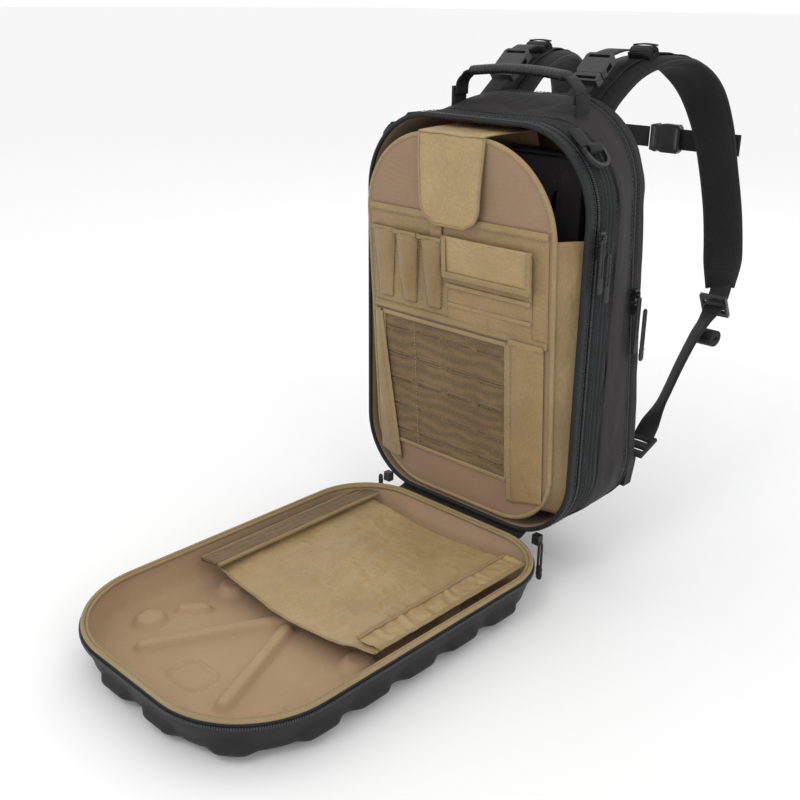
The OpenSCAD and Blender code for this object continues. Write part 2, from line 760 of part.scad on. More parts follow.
rear_slider_lower();
rear_pull_upper();
rear_pull_lower();
lid_pull_right();
lid_pull_left();
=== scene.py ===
# Clamshell trauma pack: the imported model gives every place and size, this script gives the cloth, foam and plastic
from math import copysign, cos, hypot, pi, radians, sin, sqrt, tan
import bpy
import bmesh
from mathutils import Matrix, Vector, noise


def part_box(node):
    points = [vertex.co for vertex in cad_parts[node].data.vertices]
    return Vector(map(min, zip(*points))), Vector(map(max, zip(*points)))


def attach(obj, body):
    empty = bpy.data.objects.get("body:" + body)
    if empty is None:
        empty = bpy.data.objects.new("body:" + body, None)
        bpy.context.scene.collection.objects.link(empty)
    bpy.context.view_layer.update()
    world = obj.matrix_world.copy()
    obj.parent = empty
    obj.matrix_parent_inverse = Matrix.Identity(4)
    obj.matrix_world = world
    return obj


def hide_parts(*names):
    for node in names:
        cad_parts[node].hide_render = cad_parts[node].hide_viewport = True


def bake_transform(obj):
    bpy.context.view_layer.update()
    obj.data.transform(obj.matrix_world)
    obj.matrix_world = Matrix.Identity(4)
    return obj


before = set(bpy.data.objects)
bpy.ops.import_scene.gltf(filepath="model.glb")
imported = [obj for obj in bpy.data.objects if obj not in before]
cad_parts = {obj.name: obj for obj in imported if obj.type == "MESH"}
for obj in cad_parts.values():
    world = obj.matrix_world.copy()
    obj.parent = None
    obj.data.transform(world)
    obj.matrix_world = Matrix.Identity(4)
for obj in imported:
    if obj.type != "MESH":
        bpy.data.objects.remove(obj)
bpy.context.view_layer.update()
mm = 0.001
xWay, yWay, zWay = Vector((1, 0, 0)), Vector((0, 1, 0)), Vector((0, 0, 1))


def boxOf(node):
    low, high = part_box(node)
    return Vector(low), Vector(high)


def middleOf(node):
    low, high = boxOf(node)
    return (low + high) / 2


def inMetres(points):
    return [Vector(p) * mm for p in points]


def wobble(x, y, z):
    return noise.noise(Vector((x, y, z)))


# what everything is placed from: the hinge line and the outlines of the body and the lid
hinge = middleOf("hinge_strip")
bodyLow, bodyHigh = boxOf("front_frame")
backLow, backHigh = boxOf("back_shell")
lidLow, lidHigh = boxOf("lid_shell")
body = {
    "half": bodyHigh.x, "height": bodyHigh.z - bodyLow.z, "baseR": 78 * mm, "crownR": 88 * mm,
    "backHalf": 132 * mm, "backHeight": backHigh.z - backLow.z, "backR": 94 * mm,
    "taperFrom": 48 * mm, "taperTo": 104 * mm, "around": 420,
}
lid = {"half": lidHigh.x, "length": lidHigh.y - lidLow.y, "farR": 100 * mm, "nearR": 76 * mm, "around": 480}


# shader maths as expressions
class Wire:
    def __init__(self, sheet, socket):
        self.sheet = sheet
        self.socket = socket

    def _math(self, kind, a, b):
        return self.sheet.node("ShaderNodeMath", {"operation": kind}, {0: a, 1: b})

    def __add__(self, other):
        return self._math("ADD", self, other)

    __radd__ = __add__

    def __mul__(self, other):
        return self._math("MULTIPLY", self, other)

    __rmul__ = __mul__

    def __sub__(self, other):
        return self._math("SUBTRACT", self, other)

    def __rsub__(self, other):
        return self._math("SUBTRACT", other, self)

    def sine(self):
        return self._math("SINE", self, 0.0)

    def size(self):
        return self._math("ABSOLUTE", self, 0.0)

    def above(self, low, high):
        return self.sheet.node("ShaderNodeMapRange", {"interpolation_type": "SMOOTHSTEP"},
                               {"Value": self, "From Min": low, "From Max": high})


class Sheet:
    def __init__(self, name):
        self.material = bpy.data.materials.new(name)
        self.material.use_nodes = True
        self.tree = self.material.node_tree
        self.shader = self.tree.nodes["Principled BSDF"]

    def node(self, kind, settings=None, inputs=None, out=0):
        made = self.tree.nodes.new(kind)
        for key, value in (settings or {}).items():
            setattr(made, key, value)
        for key, value in (inputs or {}).items():
            if isinstance(value, Wire):
                self.tree.links.new(value.socket, made.inputs[key])
            else:
                made.inputs[key].default_value = value
        return Wire(self, made.outputs[out])

    def join(self, socket, value):
        if isinstance(value, Wire):
            self.tree.links.new(value.socket, self.shader.inputs[socket])
        else:
            self.shader.inputs[socket].default_value = value

    def cloud(self, place, scale, detail=2.0, rough=0.5):
        return self.node("ShaderNodeTexNoise", None,
                         {"Vector": place, "Scale": scale, "Detail": detail, "Roughness": rough})

    def mix(self, factor, a, b):
        a, b = [value if isinstance(value, Wire) else (*value, 1) for value in (a, b)]
        return self.node("ShaderNodeMix", {"data_type": "RGBA"}, {0: factor, 6: a, 7: b}, out=2)

    def bump(self, height, distance, strength):
        self.join("Normal", self.node("ShaderNodeBump", None,
                                      {"Height": height, "Distance": distance, "Strength": strength}))


# woven and knitted cloths: base and worn colours, the worn one part wear and part painted highlight on the crinkles,
# then yarn is the pitch of the weave in millimetres
# depth sets the weave's bump and also how dark the painted shade in its pits is
clothKeys = ("base", "wornAndHighlit", "yarn", "depth", "rough", "crease", "sheen")
cloths = {
    "blackCordura": ((0.0122, 0.0104, 0.0110), (0.0250, 0.0212, 0.0228), 1.1, 0.10, 0.72, 0.9, 0.015),
    "bandNylon": ((0.0080, 0.0100, 0.0106), (0.0175, 0.0208, 0.0218), 0.9, 0.08, 0.66, 0.6, 0.015),
    "blackMoulded": ((0.0084, 0.0087, 0.0086), (0.0167, 0.0174, 0.0167), 0.9, 0.06, 0.62, 0.12, 0.015),
    "spacerMesh": ((0.0093, 0.0087, 0.0092), (0.0198, 0.0186, 0.0192), 2.6, 0.35, 0.85, 0.2, 0.015),
    "blackWebbing": ((0.0093, 0.0093, 0.0098), (0.0223, 0.0223, 0.0229), 1.6, 0.25, 0.70, 0.1, 0.015),
    "zipperTape": ((0.0065, 0.0077, 0.0081), (0.0136, 0.0161, 0.0167), 0.8, 0.10, 0.62, 0.1, 0.015),
    "tanNylon": ((0.240, 0.166, 0.077), (0.365, 0.266, 0.126), 0.8, 0.07, 0.46, 1.25, 0.05),
    # pocket nylon is a glossier copy of the tan nylon with lighter colours, painted highlight for the lid pocket,
    # band, tongue, bridge and flap
    "highlitPocketNylon": ((0.310, 0.222, 0.100), (0.470, 0.350, 0.165), 0.8, 0.07, 0.40, 1.1, 0.05),
    "tanFace": ((0.262, 0.176, 0.108), (0.315, 0.216, 0.134), 0.7, 0.05, 0.80, 0.25, 0.05),
    "tanMoulded": ((0.355, 0.243, 0.140), (0.435, 0.302, 0.178), 0.7, 0.04, 0.74, 0.15, 0.05),
    "tanLoop": ((0.180, 0.120, 0.056), (0.285, 0.200, 0.102), 1.9, 0.8, 0.92, 0.2, 0.05),
    "tanTape": ((0.262, 0.186, 0.088), (0.375, 0.280, 0.145), 1.2, 0.16, 0.66, 0.2, 0.05),
}


def makeCloth(name, look):
    sheet = Sheet(name)
    place = sheet.node("ShaderNodeTexCoord", out=3)
    x, y, z = [sheet.node("ShaderNodeSeparateXYZ", None, {0: place}, out=i) for i in range(3)]
    turn = 2 * pi / (look["yarn"] * mm)
    sx, sy, sz = (x * turn).sine(), (y * turn).sine(), (z * turn).sine()
    weave = sx * sy + sy * sz + sz * sx
    heather = sheet.cloud(place, 420.0, 3.0, 0.65)
    patches = sheet.cloud(place, 14.0, 4.0, 0.6)
    creases = sheet.cloud(sheet.node("ShaderNodeVectorMath", {"operation": "MULTIPLY"},
                                     {0: place, 1: (1.0, 1.0, 0.55)}), 26.0, 3.0, 0.5)
    ridges = (creases - 0.5).size().above(0.0, 0.09)
    # painted highlight: the lighter colour follows the same patches noise as the crinkle bump, so crinkle tops come
    # out lighter; the fine heather part is random tone
    toneAndHighlight = patches * 0.55 + heather * 0.45
    colour = sheet.mix(toneAndHighlight.above(0.30, 0.72), look["base"], look["wornAndHighlit"])
    # painted shade: the pits of the weave are darkened in the colour, more for deeper weaves
    pitShadeMask = (weave * 0.25 + 0.5).above(0.12, 0.6)
    pitShade = tuple(c * (1 - 0.9 * look["depth"]) for c in look["base"])
    colour = sheet.mix(pitShadeMask, pitShade, colour)
    sheet.join("Base Color", colour)
    sheet.join("Roughness", (heather * 0.16 + (look["rough"] - 0.08)))
    sheet.join("Sheen Weight", look["sheen"])
    sheet.join("Sheen Roughness", 0.45)
    sheet.join("Specular IOR Level", 0.32)
    sheet.bump(weave * (look["depth"] * 0.25) + heather * (look["depth"] * 0.5) + ridges * (look["crease"] * 0.5)
               + patches * look["crease"], 0.9 * mm, 0.75)
    return sheet.material


# moulded and metal finishes
solidKeys = ("base", "wornAndHighlit", "rough", "grain", "depth", "metal")
solids = {
    "blackPlastic": ((0.020, 0.020, 0.021), (0.042, 0.042, 0.043), 0.40, 900.0, 0.05, 0.0),
    "gripRubber": ((0.013, 0.013, 0.014), (0.032, 0.032, 0.033), 0.62, 500.0, 0.12, 0.0),
    "blackMetal": ((0.026, 0.026, 0.027), (0.075, 0.074, 0.072), 0.38, 700.0, 0.04, 0.55),
    "stitchThread": ((0.330, 0.250, 0.130), (0.430, 0.340, 0.190), 0.70, 900.0, 0.10, 0.0),
    "darkThread": ((0.022, 0.022, 0.023), (0.045, 0.045, 0.046), 0.65, 900.0, 0.10, 0.0),
}


def makeSolid(name, look):
    sheet = Sheet(name)
    place = sheet.node("ShaderNodeTexCoord", out=3)
    grain = sheet.cloud(place, look["grain"], 3.0, 0.6)
    scuffs = sheet.cloud(place, 60.0, 5.0, 0.7)
    sheet.join("Base Color", sheet.mix((scuffs * 0.7 + grain * 0.3).above(0.42, 0.78), look["base"], look["wornAndHighlit"]))
    sheet.join("Roughness", scuffs * 0.2 + (look["rough"] - 0.1))
    sheet.join("Metallic", look["metal"])
    sheet.bump(grain * look["depth"] + scuffs * look["depth"], 0.6 * mm, 0.6)
    return sheet.material


material = {name: makeCloth(name, dict(zip(clothKeys, row))) for name, row in cloths.items()}
material.update({name: makeSolid(name, dict(zip(solidKeys, row))) for name, row in solids.items()})
print("materials ready")


def finishPiece(name, bm, finish, bodyName, nodes=(), extra=()):
    mesh = bpy.data.meshes.new(name)
    bm.to_mesh(mesh)
    bm.free()
    for face in mesh.polygons:
        face.use_smooth = True
    piece = bpy.data.objects.new(name, mesh)
    bpy.context.scene.collection.objects.link(piece)
    mesh.materials.append(material[finish])
    for other in extra:
        mesh.materials.append(material[other])
    if bodyName:
        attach(piece, bodyName)
    if nodes:
        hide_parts(*nodes)
    return piece


def faceOutwards(bm):
    bmesh.ops.recalc_face_normals(bm, faces=bm.faces)


def evenOutline(half, crownHalf, height, baseR, crownR, count):
    # points evenly along a rounded outline from the middle of its base line, with outward normals
    corners = (((half - baseR, baseR), baseR, -90), ((crownHalf - crownR, height - crownR), crownR, 0),
               ((crownR - crownHalf, height - crownR), crownR, 90), ((baseR - half, baseR), baseR, 180))
    line = [Vector((0, 0))]
    for (cx, cy), r, start in corners:
        for step in range(33):
            a = radians(start + 90 * step / 32)
            line.append(Vector((cx + r * cos(a), cy + r * sin(a))))
    line.append(Vector((0, 0)))
    lengths = [0.0]
    for a, b in zip(line, line[1:]):
        lengths.append(lengths[-1] + (b - a).length)
    points = []
    at = 0
    for i in range(count):
        want = lengths[-1] * i / count
        while lengths[at + 1] < want:
            at += 1
        u = (want - lengths[at]) / max(lengths[at + 1] - lengths[at], 1e-9)
        points.append(line[at].lerp(line[at + 1], u))
    normals = []
    for i, point in enumerate(points):
        along = points[(i + 1) % count] - points[i - 1]
        normals.append(Vector((along.y, -along.x)).normalized())
    return list(zip(points, normals))


def ease(u):
    u = min(1.0, max(0.0, u))
    return u * u * (3 - 2 * u)


def bell(d, half, soft):
    # 1 inside half, falling to 0 over soft
    return 1 - ease((abs(d) - half) / soft)


bodyFrontLine = evenOutline(body["half"], body["half"], body["height"], body["baseR"], body["crownR"], body["around"])
bodyBackLine = evenOutline(body["half"], body["backHalf"], body["backHeight"], body["baseR"], body["backR"],
                           body["around"])
lidLine = evenOutline(lid["half"], lid["half"], lid["length"], lid["farR"], lid["nearR"], lid["around"])


def bodyRing(y, inset):
    # one ring of the body at depth y behind the hinge, drawn in by inset
    t = ease((y - body["taperFrom"]) / (body["taperTo"] - body["taperFrom"]))
    ring = []
    for (p, n), (q, m) in zip(bodyFrontLine, bodyBackLine):
        at = p.lerp(q, t)
        out = n.lerp(m, t).normalized()
        ring.append(Vector((at.x - out.x * inset, hinge.y + y, bodyLow.z + at.y - out.y * inset)))
    return ring


def lidRing(inset, z):
    return [Vector((p.x - n.x * inset, lidLow.y + p.y - n.y * inset, z)) for p, n in lidLine]


def ringSkin(rings, capFirst=False, capLast=False, closed=False):
    # a circle of edges is extruded from ring to ring
    bm = bmesh.new()
    count = len(rings[0])
    first = bmesh.ops.create_circle(bm, cap_ends=False, segments=count, radius=1.0)["verts"]
    for vert, point in zip(first, rings[0]):
        vert.co = point
    ring = list(first)
    for points in rings[1:]:
        edges = [bm.edges.get((ring[i], ring[(i + 1) % count])) for i in range(count)]
        grown = bmesh.ops.extrude_edge_only(bm, edges=edges)["geom"]
        fresh = {g for g in grown if isinstance(g, bmesh.types.BMVert)}
        ring = [next(e.other_vert(v) for e in v.link_edges if e.other_vert(v) in fresh) for v in ring]
        for vert, point in zip(ring, points):
            vert.co = point
    if closed:
        ends = [bm.edges.get((r[i], r[(i + 1) % count])) for r in (first, ring) for i in range(count)]
        bmesh.ops.bridge_loops(bm, edges=ends)
    for wanted, loop in ((capFirst, first), (capLast, ring)):
        if wanted:
            rim = [bm.edges.get((loop[i], loop[(i + 1) % count])) for i in range(count)]
            bmesh.ops.contextual_create(bm, geom=rim)
    faceOutwards(bm)
    return bm


def sweep(path, across, section, closed=False):
    # rings of a section along a path; section(i) gives (side, up) pairs
    rings = []
    last = len(path) - 1
    for i, at in enumerate(path):
        ahead = path[(i + 1) % len(path)] if closed else path[min(i + 1, last)]
        behind = path[i - 1] if closed else path[max(i - 1, 0)]
        along = (ahead - behind).normalized()
        side = across(i) if callable(across) else across
        side = (side - along * side.dot(along)).normalized()
        up = along.cross(side)
        rings.append([at + side * s + up * u for s, u in section(i)])
    return rings


def disc(radius, sides=8, flat=1.0):
    return [(radius * cos(2 * pi * k / sides), radius * flat * sin(2 * pi * k / sides))
            for k in range(sides)]


def rod(path, across, section):
    # the same section all along a path, closed at both ends
    return ringSkin(sweep(path, across, lambda i: section), True, True)


def ribbonSection(width, thick, rounding=0.3):
    w, t = width / 2, thick / 2
    c = min(t * 0.9, rounding * mm)
    return [(-w + c, -t), (-w / 3, -t), (w / 3, -t), (w - c, -t), (w, -t + c), (w, t - c), (w - c, t), (w / 3, t),
            (-w / 3, t), (-w + c, t), (-w, t - c), (-w, -t + c)]


def smoothPath(points, step):
    # a Catmull-Rom curve through the points, in pieces of about step
    points = [Vector(p) for p in points]
    path = []
    for i in range(len(points) - 1):
        a, b, c, d = points[max(i - 1, 0)], points[i], points[i + 1], points[min(i + 2, len(points) - 1)]
        parts = max(2, round((c - b).length / step))
        for k in range(parts):
            u = k / parts
            path.append(0.5 * (2 * b + (c - a) * u + (2 * a - 5 * b + 4 * c - d) * u * u
                               + (3 * b - a - 3 * c + d) * u ** 3))
    return path + [points[-1]]


def creases(x, y, seed):
    # sharp folds where smooth noise changes sign, as in coated nylon
    fold = abs(wobble(x * 0.045 + y * 0.012, y * 0.05 - x * 0.01, seed + 4))
    fine = abs(wobble(x * 0.11, y * 0.08 + x * 0.03, seed + 9))
    return 1.5 * (0.22 - min(fold, 0.22)) + 0.9 * (0.2 - min(fine, 0.2))


def clothGrid(across, along, place):
    bm = bmesh.new()
    bmesh.ops.create_grid(bm, x_segments=across, y_segments=along, size=0.5)
    for vert in bm.verts:
        vert.co = place(vert.co.x + 0.5, vert.co.y + 0.5)
    faceOutwards(bm)
    return bm


def thicken(bm, thick):
    bmesh.ops.solidify(bm, geom=bm.faces[:], thickness=thick)
    faceOutwards(bm)
    return bm


def crumple(bm, depth, scale, stretch=(1, 1, 1), seed=0.0, keep=None):
    # pushes the skin in and out by smooth noise along its normals
    bm.normal_update()
    shift = Vector((seed, seed * 1.7, -seed))
    moves = []
    for vert in bm.verts:
        at = Vector((vert.co.x * stretch[0], vert.co.y * stretch[1], vert.co.z * stretch[2])) * scale + shift
        push = noise.noise(at) + 0.45 * noise.noise(at * 2.3)
        moves.append(vert.normal * push * depth * (keep(vert.co) if keep else 1.0))
    for vert, move in zip(bm.verts, moves):
        vert.co += move
    return bm


def stitchLine(path, normalAt, pitch=4.2 * mm, length=2.7 * mm, thick=0.55 * mm, lift=0.25 * mm):
    # short threads laid along a path
    bm = bmesh.new()
    travelled = 0.0
    due = pitch / 2
    for i in range(len(path) - 1):
        a, b = path[i], path[i + 1]
        step = (b - a).length
        while travelled + step > due:
            u = (due - travelled) / step
            along = (b - a).normalized()
            up = normalAt(i)
            side = along.cross(up).normalized()
            up = side.cross(along)
            turn = Matrix((side, along, up)).transposed().to_4x4()
            at = Matrix.Translation(a.lerp(b, u) + up * lift)
            size = Matrix.Diagonal((thick, length, thick, 1.0))
            bmesh.ops.create_cube(bm, size=1.0, matrix=at @ turn @ size)
            due += pitch
        travelled += step
    return bm


def mergeInto(bm, other):
    mesh = bpy.data.meshes.new("part")
    other.to_mesh(mesh)
    other.free()
    bm.from_mesh(mesh)
    bpy.data.meshes.remove(mesh)
    return bm


def subdivide(piece, levels=1):
    finer = piece.modifiers.new("finer", "SUBSURF")
    finer.levels = levels
    finer.render_levels = levels
    return piece


def inflate(piece, frames=20, pressure=4.0, cap=10 * mm, voxel=5 * mm, keep=None):
    # a padded form swells under pressure in the cloth solver, and no point moves further than the cap
    remesh = piece.modifiers.new("even", "REMESH")
    remesh.mode = "VOXEL"
    remesh.voxel_size = voxel
    applyModifiers(piece)
    start = [v.co.copy() for v in piece.data.vertices]
    cloth = piece.modifiers.new("swell", "CLOTH")
    cloth.settings.use_pressure = True
    cloth.settings.uniform_pressure_force = pressure
    cloth.settings.effector_weights.gravity = 0.0
    cloth.point_cache.frame_start = 1
    cloth.point_cache.frame_end = frames
    scene = bpy.context.scene
    for step in range(1, frames + 1):
        scene.frame_set(step)
    applyModifiers(piece)
    for vert, at in zip(piece.data.vertices, start):
        move = vert.co - at
        if move.length > cap:
            move = move * (cap / move.length)
        vert.co = at + move * (keep(at) if keep else 1.0)
    scene.frame_set(1)
    for face in piece.data.polygons:
        face.use_smooth = True
    return piece


def applyModifiers(piece):
    graph = bpy.context.evaluated_depsgraph_get()
    made = bpy.data.meshes.new_from_object(piece.evaluated_get(graph))
    old = piece.data
    piece.modifiers.clear()
    piece.data = made
    bpy.data.meshes.remove(old)


print("helpers ready")


# the body
bodyLook = {"swell": 1.6, "pleats": (27, 33.5, 40), "frontZip": (11, 22), "rearZip": (104, 112), "seam": 48,
            "wave": 2.0, "fineAt": (11, 22, 27, 33.5, 40, 48, 104, 112)}


def bodyInset(y):
    # how far the skin is drawn in at y millimetres behind the rim
    inset = 0.0
    for low, high in (bodyLook["frontZip"], bodyLook["rearZip"]):
        inset += 2.2 * bell(y - (low + high) / 2, (high - low) / 2 - 1.2, 0.8)
    for pleat in bodyLook["pleats"]:
        inset += 1.9 * bell(y - pleat, 0.2, 1.9)
    inset += 2.6 * bell(y - bodyLook["seam"], 0.3, 2.3)
    inset -= bodyLook["swell"] * sin(pi * min(1.0, max(0.0, (y - 49) / 54)))
    return inset


def makeBodySkin():
    stations = [(7, 5.2), (2, 4.6), (0.6, 3.6), (0, 2.2), (0.5, 0.8), (1.6, 0.1)]
    y = 2.6
    while y < 122:
        stations.append((y, bodyInset(y)))
        y += 0.85 if any(abs(y - edge) < 3 for edge in bodyLook["fineAt"]) else 2.2
    stations += [(124, 0.3), (126, 1.2), (127.4, 3), (128, 6), (128, 20), (128, 42), (128, 66)]
    rings = []
    for y, inset in stations:
        ring = bodyRing(y * mm, inset * mm)
        if 46 < y < 52:  # the seam behind the pleats wanders a little
            drift = bodyLook["wave"] * mm * bell(y - bodyLook["seam"], 0.5, 3)
            ring = [p + Vector((0, drift * (sin(i * 0.21) + 0.5 * sin(i * 0.34)), 0))
                    for i, p in enumerate(ring)]
        rings.append(ring)
    bm = ringSkin(rings, capLast=True)
    crumple(bm, 1.5 * mm, 24, (1, 1.5, 0.8), 3.1, lambda p: ease((p.y - hinge.y - 0.022) / 0.012))
    for face in bm.faces:
        at = (face.calc_center_median().y - hinge.y) / mm
        if any(low + 0.6 < at < high - 0.6 for low, high in (bodyLook["frontZip"], bodyLook["rearZip"])):
            face.material_index = 1
        elif at < 46.5:
            face.material_index = 2
    return finishPiece("bodySkin", bm, "blackCordura", "pack",
                       ("front_frame", "side_zipper", "expansion_gusset", "body_shell", "rear_zipper", "back_shell"),
                       extra=("zipperTape", "bandNylon"))


toothLook = {"pitch": 2.3 * mm, "length": 1.5 * mm, "width": 2.6 * mm, "lift": 0.4 * mm}


def makeTeeth(name, ring, outward, bodyName):
    look = toothLook
    bm = stitchLine(ring + ring[:1], outward, look["pitch"], look["length"], look["width"], look["lift"])
    return finishPiece(name, bm, "blackPlastic", bodyName)


def outwardOf(ring):
    centre = sum(ring, Vector()) / len(ring)
    return lambda i: Vector((ring[i % len(ring)].x - centre.x, 0, ring[i % len(ring)].z - centre.z)).normalized()


makeBodySkin()
for zipName, zipY in (("sideZipTeeth", 16.5), ("rearZipTeeth", 108)):
    zipRing = bodyRing(zipY * mm, 1.9 * mm)
    makeTeeth(zipName, zipRing, outwardOf(zipRing), "pack")

seams = bmesh.new()
for seamY in (9.4, 24.3, 45.4, 51.6, 101.8, 114.4):
    seamRing = bodyRing(seamY * mm, (bodyInset(seamY) - 0.2) * mm)
    mergeInto(seams, stitchLine(seamRing + seamRing[:1], outwardOf(seamRing), 5 * mm, 3.2 * mm, 0.6 * mm, 0.3 * mm))
finishPiece("bodyStitching", seams, "darkThread", "pack")

lining = ringSkin([bodyRing(y * mm, t * mm) for y, t in
                   ((1.5, 3.4), (3, 5.3), (12, 5.6), (30, 6.4), (60, 6.6), (88, 6.2), (97, 8), (99.5, 14), (99.8, 40),
                    (99.8, 66))], capLast=True)
finishPiece("compartmentLining", lining, "tanFace", "pack", ("body_liner",))


def beadLoop(ring, radius, sides=8):
    centre = sum(ring, Vector()) / len(ring)
    rings = sweep(ring, lambda i: (ring[i] - centre), lambda i: disc(radius, sides), closed=True)
    return ringSkin(rings, closed=True)


finishPiece("openingPiping", beadLoop(bodyRing(1.6 * mm, 3.4 * mm)[::2], 2.2 * mm), "blackWebbing", "pack",
            ("front_piping",))
print("body ready")


# the lid
lidLook = {"lugDepth": 6.5, "ribHeight": 7.5, "bossHeight": 8.0, "plateHalf": 62, "plateReach": 118,
           "grooveDepth": 3.4}
lugPlaces = [(s * 150, 130 - 62 * i) for s in (-1, 1) for i in range(5)]
lugPlaces += [(s * 108, -190) for s in (-1, 1)] + [(s * 34, -220) for s in (-1, 1)] + [(s * 44, 220) for s in (-1, 1)]


def lidInset(z):
    # the outer wall leans in towards the floor and turns under in a soft curve
    u = min(1.0, max(0.0, (47 - z) / 27))
    lower = min(1.0, max(0.0, (20 - z) / 14))
    return 8 * u ** 1.3 + 14 * (1 - sqrt(max(0.0, 1 - lower ** 2)))


def makeLidShell():
    heights = [46.4, 45.6, 44.4, 41.5, 40.4, 38.5, 36, 33, 30, 27, 24, 21, 18, 15.5, 13, 11, 9.2, 7.8, 6.9, 6.2, 6]
    rings = [lidRing(inset * mm, z * mm) for inset, z in ((4.6, 44), (4.4, 46.6), (3, 47), (1, 47))]
    for z in heights:
        ring = lidRing(lidInset(z) * mm, z * mm)
        out = []
        for p, (flat, n) in zip(ring, lidLine):
            here = Vector((flat.x, lidLow.y + flat.y))
            lug = max(bell((here - Vector(at) * mm).length / mm, 13, 15) for at in lugPlaces)
            depth = lidLook["lugDepth"] * lug * bell(z - 9, 5, 13)
            out.append(p + Vector((n.x, n.y, 0)) * depth * mm)
        rings.append(out)
    base = rings[-1]
    rings += [[Vector((p.x * k, p.y * k, p.z)) for p in base] for k in (0.9, 0.75, 0.5, 0.25, 0.05)]
    bm = ringSkin(rings, capLast=True)
    plate = bmesh.new()
    bmesh.ops.create_grid(plate, x_segments=24, y_segments=44, size=1.0)
    for vert in plate.verts:
        across, along = vert.co.x, vert.co.y
        x, y = across * lidLook["plateHalf"], along * lidLook["plateReach"]
        groove = bell(abs(x) - 34, 3.2, 2) * bell(y, 86, 6)
        vert.co = Vector((x * mm, y * mm, (0.2 + lidLook["grooveDepth"] * groove) * mm))
    skirt = bmesh.ops.extrude_edge_only(plate, edges=[e for e in plate.edges if e.is_boundary])["geom"]
    for vert in [g for g in skirt if isinstance(g, bmesh.types.BMVert)]:
        vert.co = Vector((vert.co.x * 1.05, vert.co.y * 1.03, 6.4 * mm))
    faceOutwards(plate)
    mergeInto(bm, plate)
    crumple(bm, 0.35 * mm, 30, (1, 1, 1), 8.2, lambda p: ease((p.z - 0.008) / 0.01))
    for face in bm.faces:
        if 40.6 < face.calc_center_median().z / mm < 44.6 and abs(face.normal.z) < 0.8:
            face.material_index = 1
    return finishPiece("lidShell", bm, "blackMoulded", "lid", ("lid_shell", "lid_zipper"),
                       extra=("zipperTape",))


def segmentDistance(x, y, a, b):
    p, a, b = Vector((x, y)), Vector(a), Vector(b)
    u = min(1.0, max(0.0, (p - a).dot(b - a) / (b - a).length_squared))
    return (p - a - (b - a) * u).length


ribs = (((-72, -158), (0, -18)), ((56, -158), (6, -44)), ((0, 6), (0, 150)), ((-98, -92), (-84, -78)))
bosses = [(s * 96, y) for s in (-1, 1) for y in (-30, 95)] + [(-106, -128), (104, -140), (-20, 20)]


def floorRelief(x, y):
    rise = 0.0
    for a, b in ribs:
        rise = max(rise, lidLook["ribHeight"] * bell(segmentDistance(x, y, a, b), 3.5, 8))
    for cx, cy in bosses:
        rise = max(rise, lidLook["bossHeight"] * bell(hypot(x - cx, y - cy), 11, 9))
    away = hypot(max(0.0, abs(x + 2) - 13), max(0.0, abs(y + 150) - 7)) - 8
    rise += 2.4 * bell(away, 0.9, 1.9)
    return rise + 0.5 * noise.noise(Vector((x, y, 0)) * 0.02)


def makeLidLiner():
    wall = [(46.8, 4.4), (46, 5.3), (42, 6), (36, 7.2), (30, 9), (24, 11), (19, 13.5), (15.5, 17), (13, 21), (12, 26)]
    rings = [lidRing(inset * mm, z * mm) for z, inset in wall]
    base = rings[-1]
    steps = 84
    for i in range(1, steps):
        k = 1 - i / steps
        rings.append([Vector((p.x * k, p.y * k, (11.7 + floorRelief(p.x * k / mm, p.y * k / mm) *
                                                ease(i / 5)) * mm)) for p in base])
    bm = ringSkin(rings, capLast=True)
    bmesh.ops.reverse_faces(bm, faces=bm.faces)
    return finishPiece("lidLining", bm, "tanMoulded", "lid", ("lid_liner",))


makeLidShell()
makeLidLiner()
beads = beadLoop(lidRing(2.6 * mm, 48.4 * mm)[::2], 2.3 * mm)
mergeInto(beads, beadLoop(lidRing(6.3 * mm, 47.6 * mm)[::2], 1.9 * mm))
finishPiece("lidPiping", beads, "tanTape", "lid", ("lid_piping",))
lidZipRing = lidRing(0.2 * mm, 43 * mm)
makeTeeth("lidZipTeeth", lidZipRing, lambda i: Vector((*lidLine[i % len(lidLine)][1], 0)), "lid")

# the nylon pocket: a sheet held down both long sides, slack across and open towards the far end
pocketLook = {"half": 126, "far": -38, "near": 190, "top": 43, "sag": 12.5}


def pocketPoint(u, v, lift=0.0):
    look = pocketLook
    x = (2 * u - 1) * look["half"]
    y = look["far"] + v * (look["near"] - look["far"])
    y += -7 * sin(pi * u) * (1 - v)
    across = abs(2 * u - 1)
    z = look["top"] - look["sag"] * (1 - across ** 2.2)
    slack = Vector((x * 0.021, y * 0.013, 0.4))
    z += 2.6 * noise.noise(slack) * (1 - across ** 4)
    z += (1.1 * noise.noise(slack * 3.1) + 1.8 * creases(x, y, 2)) * (1 - across ** 6)
    if x > 82:  # gathers along the band on the near side
        z += 0.7 * sin(y * 0.23 + 4.2 * noise.noise(Vector((x, y, 0)) * 0.03)) * ease((x - 82) / 20)
    return Vector((x, y, z + lift)) * mm


pocket = thicken(clothGrid(110, 100, pocketPoint), 0.5 * mm)
lidPocket = finishPiece("lidPocket", pocket, "highlitPocketNylon", "lid", ("lid_pocket",))


def ribbonAlong(points, width, thick, across, step=6 * mm, rounded=0.5):
    path = smoothPath(points, step)
    return rod(path, across, ribbonSection(width, thick, rounded))


